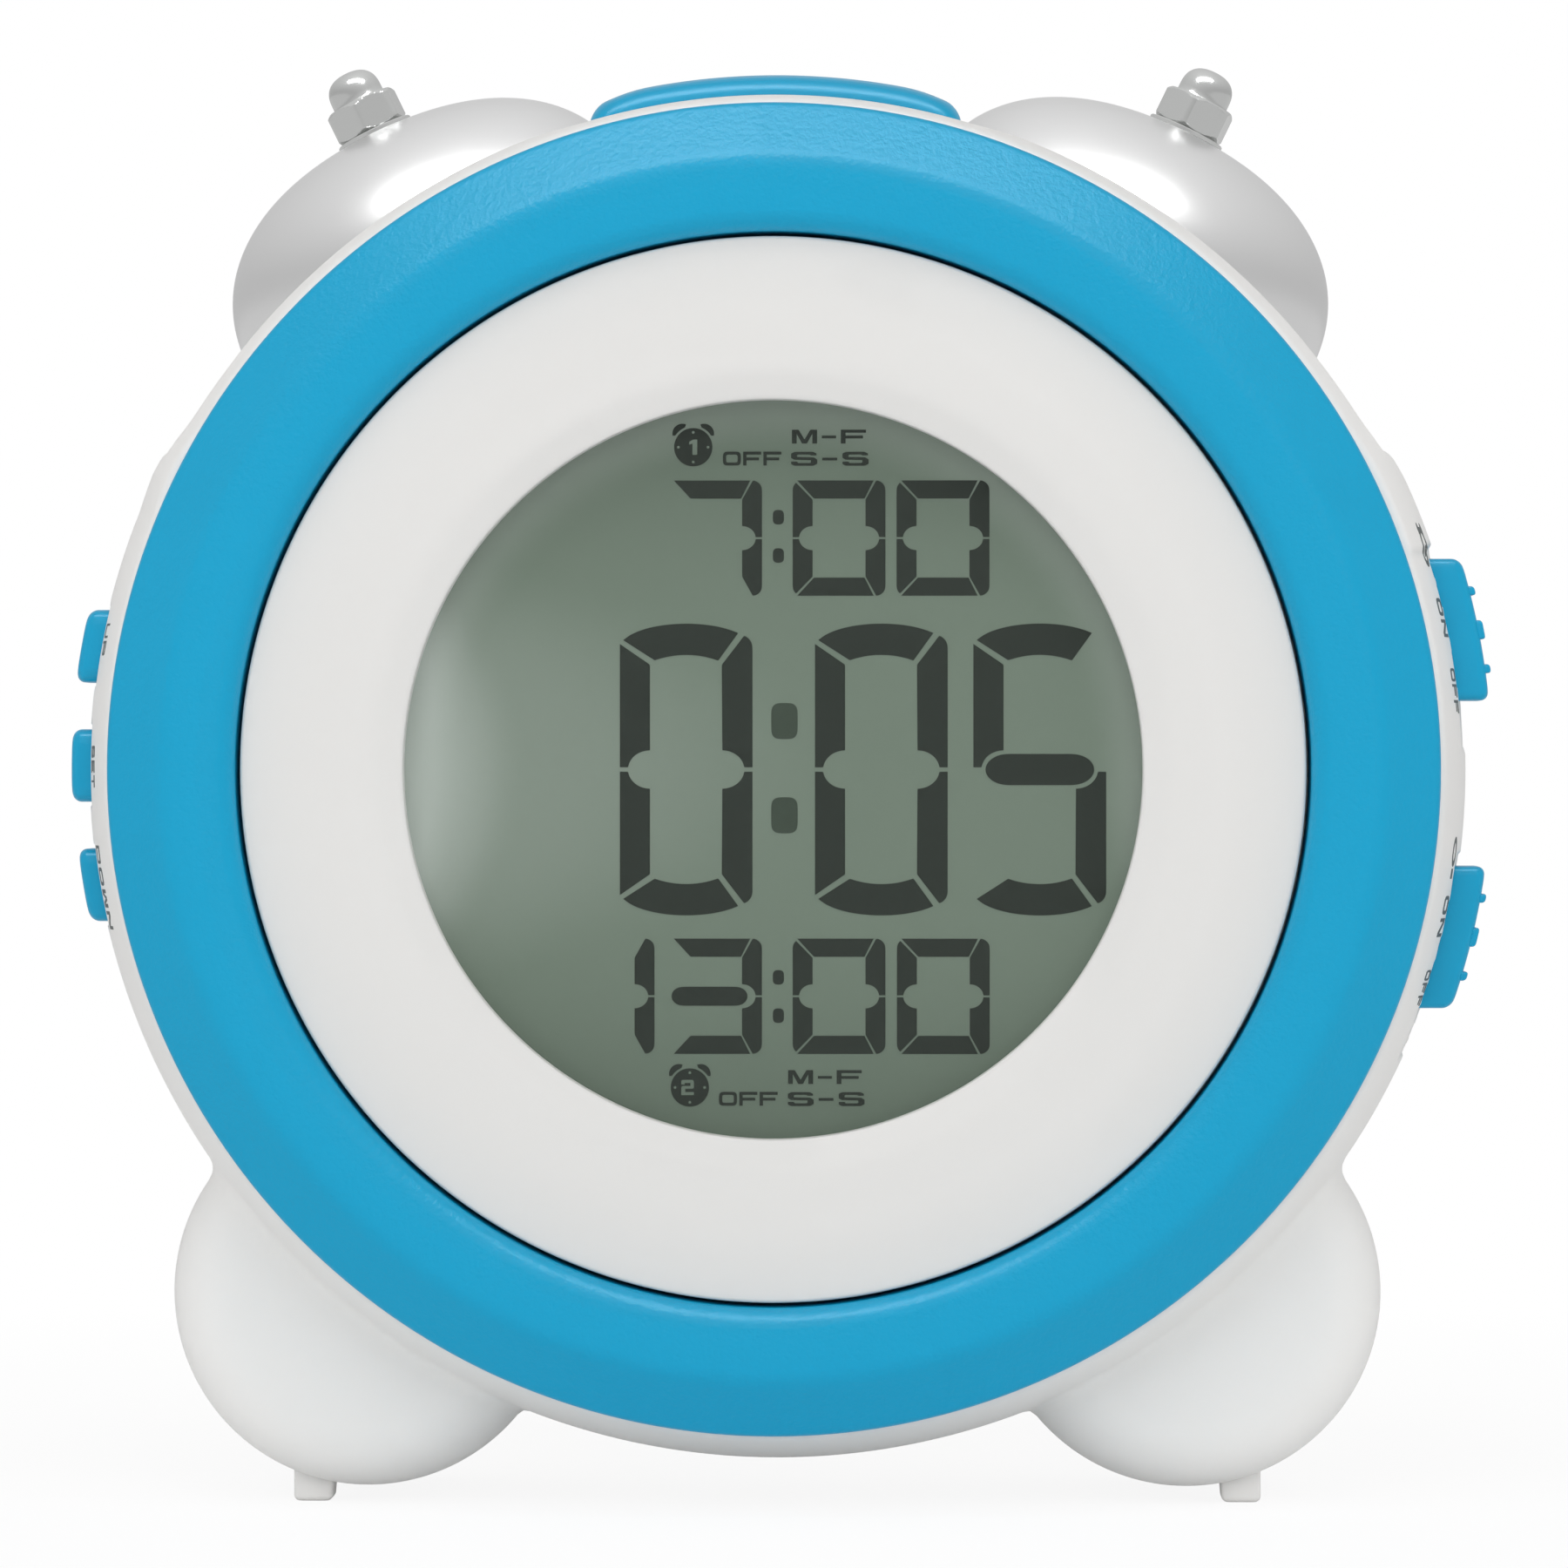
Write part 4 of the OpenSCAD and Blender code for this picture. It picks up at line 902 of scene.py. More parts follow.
        solid = joined(solid, around_bay(self.bay_wall, deep - self.bay_wall, 65.0), 0.6)
        up = y - self.speaker_y
        out = np.hypot(x, up)
        start, end = self.collar_span
        span = np.maximum(start - t, t - end)
        collar = np.maximum(np.abs(out - self.collar[0]) - self.collar[1], span)
        ears = np.maximum(np.hypot(np.abs(x) - self.ears[0], up) - self.ears[1], span)
        solid = np.minimum(solid, np.minimum(collar, ears))
        solid = self._drilled(x, y, solid, self.screw_bore[1], 20.0 - t)
        solid = self._drilled(x, y, solid, self.screw_head, 36.0 - t, 0.7)
        for off, down in axes:
            solid = cut(solid, np.maximum(off - self.bolt[0],
                                          np.maximum(-down, down - self.bolt[1])), 0.2)
        solid = cut(solid, around_bay(0.0, deep, FAR), 0.4)
        notch = np.hypot(x, y - mid - high / 2 - self.door_rim) - self.notch_r
        notch = np.maximum(notch, self.door_t - t)
        solid = cut(solid, np.minimum(around_bay(self.door_rim, self.door_t, FAR), notch), 0.5)
        solid = cut(solid, np.maximum(out - self.grille_r, self.grille_t - t), 0.3)
        return shared(solid, self.split_t + self.seam - t, 0.5)

    def _hole_rings(self) -> list[Point]:
        """Gives the middles of the sound holes, in rings of 6, 12 and 18 round one."""
        places = [(0.0, 0.0)]
        for k in (1, 2, 3):
            for i in range(6 * k):
                a = math.radians(60.0 * i / k)
                places.append((3.0 * k * math.cos(a), 3.0 * k * math.sin(a)))
        return places

    def grille(self, bench: "Bench") -> None:
        """Makes the pierced disc in front of the speaker."""
        bm = bmesh.new()
        loops = [arc((0.0, self.speaker_y), (self.grille_r, self.grille_r), 0, 356, 89)]
        loops += [arc((x, self.speaker_y + y), (self.sound_hole, self.sound_hole), 0, 345, 23)
                  for x, y in self._hole_rings()]
        inner_t, outer_t = self.back_t - self.wall, self.back_t - 0.02
        rims: list[list[list[bmesh.types.BMVert]]] = []
        for t in (inner_t, outer_t):
            layer = []
            edges = []
            for line in loops:
                ring = [bm.verts.new(spot(x, y, t)) for x, y in line]
                edges += [bm.edges.new((ring[i - 1], ring[i])) for i in range(len(ring))]
                layer.append(ring)
            bmesh.ops.triangle_fill(bm, use_beauty=True, use_dissolve=False, edges=edges)
            rims.append(layer)
        for a, b in zip(*rims):
            for i in range(len(a)):
                bm.faces.new((a[i - 1], a[i], b[i], b[i - 1]))
        bench.place("speaker_grille", bm, Slot.SHELL, "case")

    def pegs(self, bench: "Bench") -> None:
        """Makes the four foot pegs, which taper a little on their inner side."""
        bm = bmesh.new()
        at_x, at_y = self.peg_at
        for side in (-1, 1):
            for middle_t in self.peg_t:
                def bend(v: Vector) -> Vector:
                    """Hangs the peg under its bulb."""
                    lean = -0.35 * (1 - v.z / self.peg[2]) if v.x < 0 else 0.0
                    return spot(side * (at_x + v.x + lean), at_y - v.z, middle_t + v.y)

                soft_block(bm, self.peg, 0.5, 0.6, (2, 2), bend)
        bench.place("foot_peg_set", bm, Slot.SHELL, "case", ["foot_pegs"], sharp=50)

    def door(self, bench: "Bench") -> None:
        """Makes the battery door with its finger ribs and its two tabs."""
        wide, high, mid, _ = self.bay
        edge = self.door_rim - 0.3
        size = (wide + 2 * edge, high + 2 * edge)
        bm = bmesh.new()

        def on_back(depth: float, y: float = mid) -> Callable[[Vector], Vector]:
            """Gives the placing function of a block that stands on the back from a depth."""
            return lambda v: spot(v.x, y + v.y, depth + v.z)

        soft_block(bm, (*size, 1.5), 0.8, 0.35, (1, 1), on_back(self.door_t))
        for i in range(5):
            y = mid + size[1] / 2 - 7.5 - 1.7 * i
            soft_block(bm, (15.0 - 1.6 * i, 0.9, 0.8), 0.4, 0.35, (1, 1), on_back(65.2, y), 4)
        for x in (-wide / 4, wide / 4):
            soft_block(bm, (8.0, 1.2, 3.2), 0.2, 0.1, (1, 1),
                       lambda v, x=x: spot(x + v.x, mid - high / 2 + 0.9 + v.y, 64.3 - v.z), 3)
        bench.place("bay_door", bm, Slot.SHELL, "battery_door", ["battery_door"], sharp=40)

    def build(self, bench: "Bench") -> None:
        """Makes both shells, the grille, the pegs and the door."""
        for name, node, solid, start, end in (
                ("shell_front", "front_shell", self.front_half, 6.5, 32.0),
                ("shell_rear", "rear_shell", self.rear_half, 28.0, 68.0)):
            bench.place_mould(name, solid, (-74, -75, start), (74, 72, end), self.cell,
                              Slot.SHELL, "case", [node])
        self.grille(bench)
        self.pegs(bench)
        self.door(bench)


# ---------------------------------------------------------------- front rings


@dataclass
class FrontRings:
    """The blue bezel and the white ring face inside it."""

    hole_r: float = 52.85
    lip_round: float = 2.4
    lip_end: float = 55.25
    crest_r: float = 58.9
    bend: float = 3.6
    fall: float = 33.0
    rim_r: float = 65.76
    rim_t: float = 8.5
    rim_round: float = 0.9
    skin: float = 2.2
    ring_r: float = 52.45
    neck_r: float = 52.1
    view_r: float = 36.4
    steps: int = 288

    def bezel(self, bench: Bench) -> None:
        """Turns the bezel: a rounded lip, a nearly flat crest and a straight outer slope."""
        a = math.radians(self.fall)
        lip_t = 0.12
        face = [(self.hole_r, self.rim_t), (self.hole_r, 3.3), (self.hole_r + 0.08, 2.75)]
        face += [(self.lip_end - self.lip_round * math.cos(b),
                  lip_t + self.lip_round * (1 - math.sin(b)))
                 for b in (math.radians(12 + 6 * i) for i in range(13))]
        face += [(56.6, 0.06), (57.6, 0.015), (self.crest_r, 0.0)]
        face += [(self.crest_r + self.bend * math.sin(a * i / 7),
                  self.bend * (1 - math.cos(a * i / 7))) for i in range(1, 8)]
        low_r = self.crest_r + self.bend * math.sin(a)
        low_t = self.bend * (1 - math.cos(a))
        edge_r = self.rim_r - self.rim_round * (1 - math.sin(a))
        edge_t = low_t + (edge_r - low_r) * math.tan(a)
        face += [(low_r + (edge_r - low_r) * k, low_t + (edge_t - low_t) * k)
                 for k in (0.06, 0.5, 0.94)]
        face += [(edge_r + self.rim_round * (math.sin(b) - math.sin(a)),
                  edge_t + self.rim_round * (math.cos(a) - math.cos(b)))
                 for b in (a + (math.pi / 2 - a) * i / 6 for i in range(7))]
        back = [(self.rim_r, self.rim_t), (self.rim_r - self.skin, self.rim_t),
                (self.crest_r + 0.6, self.skin), (self.lip_end, self.skin),
                (self.hole_r + self.skin, self.skin + 1.2), (self.hole_r + self.skin, self.rim_t)]
        bm = bmesh.new()
        lathe(bm, face + back, self.steps, spot)
        bench.place("bezel_shell", bm, Slot.BEZEL, "case", ["front_bezel"], sharp=50)

    def ring_face(self, bench: Bench) -> None:
        """Turns the ring face: a shallow dish, a level middle and a gently falling outside."""
        face = [(self.view_r, 4.9), (self.view_r, 2.6), (self.view_r + 0.04, 2.42),
                (self.view_r + 0.18, 2.31), (36.9, 2.22), (38.6, 1.72), (39.1, 1.6),
                (39.6, 1.52), (40.2, 1.46), (41.0, 1.42), (43.0, 1.4), (44.6, 1.42),
                (45.8, 1.47), (47.0, 1.56), (48.2, 1.69), (49.2, 1.82), (51.6, 2.14),
                (self.ring_r - 0.35, 2.165), (self.ring_r - 0.25, 2.19),
                (self.ring_r - 0.1, 2.27), (self.ring_r, 2.45), (self.ring_r, 2.8)]
        back = [(self.ring_r, 6.0), (self.neck_r, 6.3), (self.neck_r, 10.6), (50.1, 10.6),
                (50.1, 4.6), (40.0, 4.35), (40.0, 6.1), (38.2, 6.1), (38.2, 4.9)]
        bm = bmesh.new()
        lathe(bm, face + back, self.steps, spot)
        bench.place("ring_face", bm, Slot.RING, "case", ["night_light_ring"], sharp=40)


# ---------------------------------------------------------------- display


@dataclass(frozen=True)
class Figure:
    """A seven-segment figure, in artwork units from its top left corner, down positive."""

    width: float
    height: float
    upright: float
    bar: float
    notch: Point
    shoulder: float
    gap: float = 2.2

    def _notch(self, left: bool) -> list[Point]:
        """Draws the hollow beside the middle bar, from the upright's inner edge outwards."""
        half = self.height / 2
        inner = self.upright
        curve = arc((inner, half), self.notch, 270, 190, 8)
        curve = [(x, y) for x, y in curve if y < half - self.gap / 2] + [
            (inner - self.notch[0], half - self.gap / 2)]
        return curve if left else [(self.width - x, y) for x, y in curve]

    def _mirrored(self, points: list[Point]) -> list[Point]:
        """Turns a segment of the upper half into its twin below."""
        return [(x, self.height - y) for x, y in reversed(points)]

    def top(self) -> list[Point]:
        """Outlines the top bar."""
        return [(5.2, 0), (self.width - 13.5, 0), (self.width - 24, self.bar), (24.5, self.bar)]

    def upper_left(self) -> list[Point]:
        """Outlines the upper left upright."""
        half = self.height / 2
        corner = arc((self.shoulder, self.shoulder), (self.shoulder, self.shoulder), 180, 230, 5)
        return corner + [(self.upright, 22.0)] + self._notch(True) + [(0, half - self.gap / 2)]

    def upper_right(self) -> list[Point]:
        """Outlines the upper right upright."""
        half = self.height / 2
        corner = arc((self.width - self.shoulder, self.shoulder),
                     (self.shoulder, self.shoulder), 0, -88, 7)
        return corner + [(self.width - self.upright, 22.0)] + self._notch(False) + [
            (self.width, half - self.gap / 2)]

    def middle(self) -> list[Point]:
        """Outlines the middle bar, which has round ends."""
        half = self.height / 2
        r = self.bar / 2 + 0.5
        left = arc((2.5 + 1.25 * r, half), (1.25 * r, r), 90, 270, 10)
        right = arc((self.width - 16.5 - 1.25 * r, half), (1.25 * r, r), -90, 90, 10)
        return left + right

    def segment(self, letter: str) -> list[Point]:
        """Gives the outline of a segment by its usual letter, a to g."""
        return {
            "a": self.top, "b": self.upper_right, "f": self.upper_left, "g": self.middle,
            "c": lambda: self._mirrored(self.upper_right()),
            "e": lambda: self._mirrored(self.upper_left()),
            "d": lambda: self._mirrored(self.top()),
        }[letter]()


@dataclass(frozen=True)
class ArchedFigure(Figure):
    """The large figure, whose top and foot are arched."""

    arch: Point = (78.0, 30.0)

    def _crown(self, x: float, drop: float) -> float:
        """Gives how far the arch lies below the figure's top at x."""
        across = min(abs(x - self.width / 2) / self.arch[0], 1.0)
        return drop + self.arch[1] * (1 - math.sqrt(1 - across**2))

    def top(self) -> list[Point]:
        """Outlines the arched top bar."""
        outer = [3.7 + (136.0 - 3.7) * i / 16 for i in range(17)]
        inner = [113.0 - (113.0 - 40.0) * i / 10 for i in range(11)]
        return [(x, self._crown(x, 0.0)) for x in outer] + [
            (x, self._crown(x, 35.9) + 0.0022 * (x - 76) ** 2) for x in inner]

    def upper_left(self) -> list[Point]:
        """Outlines the upper left upright, cut on a slant above."""
        half = self.height / 2
        return [(0, half - self.gap / 2), (0, 23.3), (self.upright, 47.2)] + self._notch(True)

    def upper_right(self) -> list[Point]:
        """Outlines the upper right upright with its rounded shoulder."""
        half = self.height / 2
        corner = arc((self.width - 13, 27.5), (13, 14), 0, -75, 7)
        return corner + [(self.width - self.upright - 0.6, 47.2)] + self._notch(False) + [
            (self.width, half - self.gap / 2)]

    def middle(self) -> list[Point]:
        """Outlines the middle bar of the large figure."""
        half = self.height / 2
        left = arc((13.8 + 26, half), (26, 17.9), 90, 270, 12)
        right = arc((138.7 - 26, half), (26, 17.9), -90, 90, 12)
        return left + right


LIT = {"0": "abcdef", "1": "bc", "3": "abcdg", "5": "acdfg", "7": "abc"}


@dataclass
class Glyphs:
    """Plain wide capitals and figures, one unit high and drawn up positive."""

    stroke: float = 0.22

    def width(self, letter: str) -> float:
        """Gives a letter's width."""
        return {"-": 1.05, "1": 0.55}.get(letter, 1.5)

    def shapes(self, letter: str) -> Outlines:
        """Draws a letter.

        Args:
            letter: One of the letters that the clock uses.

        Returns:
            Its solid outlines, and its bands as pairs of outer and inner outline.
        """
        s = self.stroke
        w = self.width(letter)
        bars: list[list[Point]] = []
        bands: list[tuple[list[Point], ...]] = []
        if letter == "O":
            outer = eased([(0, 0, 0.35), (w, 0, 0.35), (w, 1, 0.35), (0, 1, 0.35)], 4)
            k = s * 1.25
            inner = eased([(k, s, 0.16), (w - k, s, 0.16), (w - k, 1 - s, 0.16),
                           (k, 1 - s, 0.16)], 4)
            bands.append((outer, inner))
        elif letter == "F":
            bars.append([(0, 0), (s * 1.3, 0), (s * 1.3, 0.37), (w * 0.88, 0.37),
                         (w * 0.88, 0.58), (s * 1.3, 0.58), (s * 1.3, 1 - s), (w, 1 - s),
                         (w, 1), (0, 1)])
        elif letter == "N":
            k = s * 1.2
            bars.append([(0, 0), (k, 0), (k, 0.66), (w - k * 1.3, 0), (w, 0), (w, 1),
                         (w - k, 1), (w - k, 0.34), (k * 1.3, 1), (0, 1)])
        elif letter in "MW":
            k = s * 1.3
            line = [(0, 0), (k, 0), (k, 0.7), (w / 2 - k / 2, 0), (w / 2 + k / 2, 0),
                    (w - k, 0.7), (w - k, 0), (w, 0), (w, 1), (w - k * 1.4, 1),
                    (w / 2, 0.3), (k * 1.4, 1), (0, 1)]
            bars.append(line if letter == "M" else [(x, 1 - y) for x, y in reversed(line)])
        elif letter == "U":
            bars.append([(0, 1), (0, 0.14), (0.14, 0), (w - 0.14, 0), (w, 0.14), (w, 1),
                         (w - s, 1), (w - s, s), (s, s), (s, 1)])
        elif letter == "T":
            bars.append([(w / 2 - s / 2, 0), (w / 2 + s / 2, 0), (w / 2 + s / 2, 1 - s),
                         (w, 1 - s), (w, 1), (0, 1), (0, 1 - s), (w / 2 - s / 2, 1 - s)])
        elif letter == "E":
            bars.append([(0, 0), (w, 0), (w, s), (s, s), (s, 0.4), (w * 0.88, 0.4),
                         (w * 0.88, 0.6), (s, 0.6), (s, 1 - s), (w, 1 - s), (w, 1), (0, 1)])
        elif letter in "DP":
            foot = 0.0 if letter == "D" else 0.32
            outer = eased([(0, foot, 0.02), (w, foot, 0.25), (w, 1, 0.25), (0, 1, 0.02)], 4)
            inner = eased([(s, foot + s, 0.02), (w - s, foot + s, 0.1), (w - s, 1 - s, 0.1),
                           (s, 1 - s, 0.02)], 4)
            bands.append((outer, inner))
            if letter == "P":
                bars.append([(0, 0), (s, 0), (s, foot), (0, foot)])
        elif letter == "S":
            bars.append([(0.02, 0.3), (0.02, 0.12), (0.2, 0), (w - 0.22, 0), (w, 0.14),
                         (w, 0.46), (w - 0.2, 0.6), (0.36, 0.63), (0.36, 0.76), (0.42, 0.8),
                         (w - 0.42, 0.8), (w - 0.36, 0.74), (w - 0.04, 0.74), (w - 0.04, 0.88),
                         (w - 0.24, 1), (0.22, 1), (0.02, 0.88), (0.02, 0.56), (0.2, 0.43),
                         (w - 0.36, 0.4), (w - 0.36, 0.24), (w - 0.42, 0.2), (0.42, 0.2),
                         (0.36, 0.3)])
        elif letter == "-":
            bars.append([(0.1, 0.38), (w - 0.1, 0.38), (w - 0.1, 0.58), (0.1, 0.58)])
        elif letter == "1":
            bars.append([(0.22, 0), (0.55, 0), (0.55, 1), (0.28, 1), (0, 0.86), (0, 0.66),
                         (0.22, 0.74)])
        elif letter == "2":
            bars.append([(0, 0), (1.1, 0), (1.1, 0.2), (0.34, 0.2), (0.34, 0.42), (1.0, 0.42),
                         (1.1, 0.5), (1.1, 0.9), (1.0, 1), (0.1, 1), (0, 0.92), (0, 0.7),
                         (0.3, 0.7), (0.3, 0.8), (0.8, 0.8), (0.8, 0.6), (0.1, 0.6),
                         (0, 0.5)])
        return bars, bands

    def word(self, text: str, place: Callable[[float, float], Point],
             spacing: float = 0.18) -> Outlines:
        """Sets a word and maps its points.

        Args:
            text: The letters.
            place: Gives the place of a point along and up the word, one unit high.
            spacing: Space between letters.

        Returns:
            The word's outlines and bands.
        """
        bars: list[list[Point]] = []
        bands: list[tuple[list[Point], ...]] = []
        along = 0.0
        for letter in text:
            solids, rings = self.shapes(letter)
            bars += [[place(along + x, y) for x, y in line] for line in solids]
            bands += [tuple([place(along + x, y) for x, y in line] for line in pair)
                      for pair in rings]
            along += self.width(letter) + spacing
        return bars, bands


@dataclass
class Display:
    """The window, its liquid crystal cell and what the cell shows."""

    unit: float = 0.08604
    front: Layer = level(6.15)
    back: Layer = level(6.19)
    over: Layer = level(6.12)
    small: Figure = Figure(106.5, 132.3, 22.9, 20.8, (15.6, 13.8), 11.0)
    large: ArchedFigure = ArchedFigure(152.3, 335.0, 34.6, 36.0, (25.3, 22.0), 13.0, 5.0)

    def _figure(self, bm: bmesh.types.BMesh, figure: Figure, digit: str, x: float,
                y: float) -> None:
        """Adds the lit segments of one digit with its top left corner at x, y."""
        for letter in LIT[digit]:
            outline = [((x + px) * self.unit, (y - py) * self.unit)
                       for px, py in figure.segment(letter)]
            plate(bm, outline, self.front, self.back)

    def _dot(self, bm: bmesh.types.BMesh, box: tuple[float, float, float, float],
             radius: float) -> None:
        """Adds a rounded dot that fills a box of left, top, right and bottom."""
        left, top, right, low = (v * self.unit for v in box)
        r = radius * self.unit
        plate(bm, eased([(left, low, r), (right, low, r), (right, top, r), (left, top, r)]),
              self.front, self.back)

    def _words(self, bm: bmesh.types.BMesh, x: float, y: float, text: str, width: float,
               height: float) -> None:
        """Adds a word with its lower left corner at x, y."""
        glyphs = Glyphs()
        natural = sum(glyphs.width(c) + 0.18 for c in text) - 0.18
        scale = (width / natural * self.unit, height * self.unit)
        printed(bm, glyphs.word(
            text, lambda a, b: (x * self.unit + a * scale[0], y * self.unit + b * scale[1])),
            self.front, self.back)

    def _alarm_icon(self, bm: bmesh.types.BMesh, x: float, y: float) -> None:
        """Adds a round clock sign with two small ears at x, y."""
        u = self.unit
        plate(bm, arc((x * u, y * u), (22 * u, 22 * u), 0, 354, 59), self.front, self.back)
        for side in (-1, 1):
            middle = 90 - side * 40
            ear = arc((x * u, y * u), (24.5 * u, 24.5 * u), middle - 17, middle + 17, 6)
            cx = (x + side * 12.5) * u
            cy = (y + 15.5) * u
            cap = arc((cx, cy), (11.5 * u, 11.5 * u), middle + 62, middle - 62, 10)
            plate(bm, ear + cap, self.front, self.back)

    def _icon_cutouts(self, bm: bmesh.types.BMesh, x: float, y: float, digit: str) -> None:
        """Adds the pale digit and four ticks on a clock sign."""
        u = self.unit
        high = 17.5 * u
        wide = Glyphs().width(digit) * high * (0.75 if digit == "2" else 0.95)
        natural = Glyphs().width(digit)
        printed(bm, Glyphs().word(digit, lambda a, b: (x * u - wide / 2 + a * wide / natural,
                                                       y * u - high / 2 + b * high)),
                self.over, self.front)
        for turn in range(4):
            a = math.radians(90 * turn)
            plate(bm, arc(((x + 17 * math.cos(a)) * u, (y + 17 * math.sin(a)) * u),
                          (1.6 * u, 1.6 * u), 0, 330, 11), self.over, self.front)

    def build(self, bench: Bench) -> None:
        """Lays the figures, words and signs on the cell."""
        bm = bmesh.new()
        for digit, x in zip("700", (-111.9, 22.2, 141.5)):
            self._figure(bm, self.small, digit, x - (7.6 if digit == "7" else 0), 331.8)
        for digit, x in zip("005", (-176.3, 47.8, 229.6)):
            self._figure(bm, self.large, digit, x, 167.5)
        for digit, x in zip("1300", (-243.0, -119.6, 22.2, 141.9)):
            self._figure(bm, self.small, digit, x, -194.2)
        for y in (298.1, 254.1, -230.2, -274.2):
            self._dot(bm, (-0.6, y, 12.2, y - 16.8), 6.0)
        for x, y, text, wide in ((-58.0, 349.0, "OFF", 67.3), (21.3, 374.1, "M-F", 85.1),
                                 (20.0, 348.7, "S-S", 89.4), (-62.5, -386.1, "OFF", 67.5),
                                 (16.9, -361.1, "M-F", 84.6), (16.3, -386.4, "S-S", 88.4)):
            self._words(bm, x, y, text, wide, 16.0)
        for x, y in ((-92.0, 370.1), (-95.9, -365.2)):
            self._alarm_icon(bm, x, y)
        bench.place("display_figures", bm, Slot.DISPLAY, "case",
                    material=bench.shelf.segment)
        bm = bmesh.new()
        for top in (76.3, -31.9):
            self._dot(bm, (-2.4, top, 27.9, top - 41.4), 11.0)
        bench.place("display_colon", bm, Slot.DISPLAY, "case",
                    material=bench.shelf.pale_segment)
        bm = bmesh.new()
        for x, y, digit in ((-92.0, 370.1, "1"), (-95.9, -365.2, "2")):
            self._icon_cutouts(bm, x, y, digit)
        bench.place("display_icon_figures", bm, Slot.DISPLAY, "case")


# ---------------------------------------------------------------- bells


@dataclass
class Bells:
    """The two chromed bells and their acorn nuts."""

    base_x: float = 41.69
    base_y: float = 65.40
    base_t: float = 40.0
    tilt: float = 26.0
    radius: float = 22.3
    height: float = 16.4
    rim: float = 3.6
    seat_r: float = 4.6
    seat: float = 0.19
    power: float = 2.3
    skin: float = 0.8
    steps: int = 160

    def spot_on(self, side: int) -> Callable[[float, float, float], Vector]:
        """Gives the placing function of one bell, whose depth runs down from its nut's seat."""
        a = math.radians(self.tilt)
        axis = Vector((side * math.sin(a), math.cos(a)))
        across = Vector((math.cos(a), -side * math.sin(a)))

        def place(u: float, v: float, depth: float) -> Vector:
            """Places a point u across the bell, v along the clock's depth and down its axis."""
            x = side * self.base_x + across.x * u - axis.x * depth
            y = self.base_y + across.y * u - axis.y * depth
            return spot(x, y, self.base_t + v)

        return place

    def on_axis(self, side: int, x: Grid, y: Grid, t: Grid) -> tuple[Grid, Grid]:
        """Gives each point's distance from a bell's axis, and how far it is down from the seat."""
        a = math.radians(self.tilt)
        dx, dy = x - side * self.base_x, y - self.base_y
        down = -(dx * side * math.sin(a) + dy * math.cos(a))
        across = dx * math.cos(a) - dy * side * math.sin(a)
        return np.hypot(across, t - self.base_t), down

    def _dome(self, radius: float, height: float, start: float) -> list[Point]:
        """Draws a dome's profile from the edge of its seat outwards and down."""
        points = []
        for i in range(1, 49):
            a = math.pi / 2 * i / 48
            points.append((radius * math.sin(a) ** (2 / self.power),
                           start + height * (1 - math.cos(a) ** (2 / self.power))))
        return [point for point in points if point[0] > self.seat_r + 0.2]

    def build(self, bench: Bench) -> None:
        """Turns both bells with a thin rolled rim."""
        total = self.height + self.rim
        for side, name in ((-1, "left"), (1, "right")):
            outer = self._dome(self.radius, self.height, 0.0)
            inner = self._dome(self.radius - self.skin, self.height - self.skin, self.skin)
            lip = [(self.radius + 0.3, total - 0.2), (self.radius + 0.2, total),
                   (self.radius - self.skin + 0.45, total),
                   (self.radius + 0.3 - self.skin, total - 0.2)]
            section = [(2.3, self.seat), (self.seat_r, self.seat)]
            section += outer + lip + inner[::-1]
            section += [(self.seat_r, self.seat + self.skin), (2.3, self.seat + self.skin)]
            bm = bmesh.new()
            lathe(bm, section, self.steps, self.spot_on(side))
            bench.place(f"{name}_bell_dome", bm, Slot.BELL, "case", [f"{name}_bell"], sharp=50)


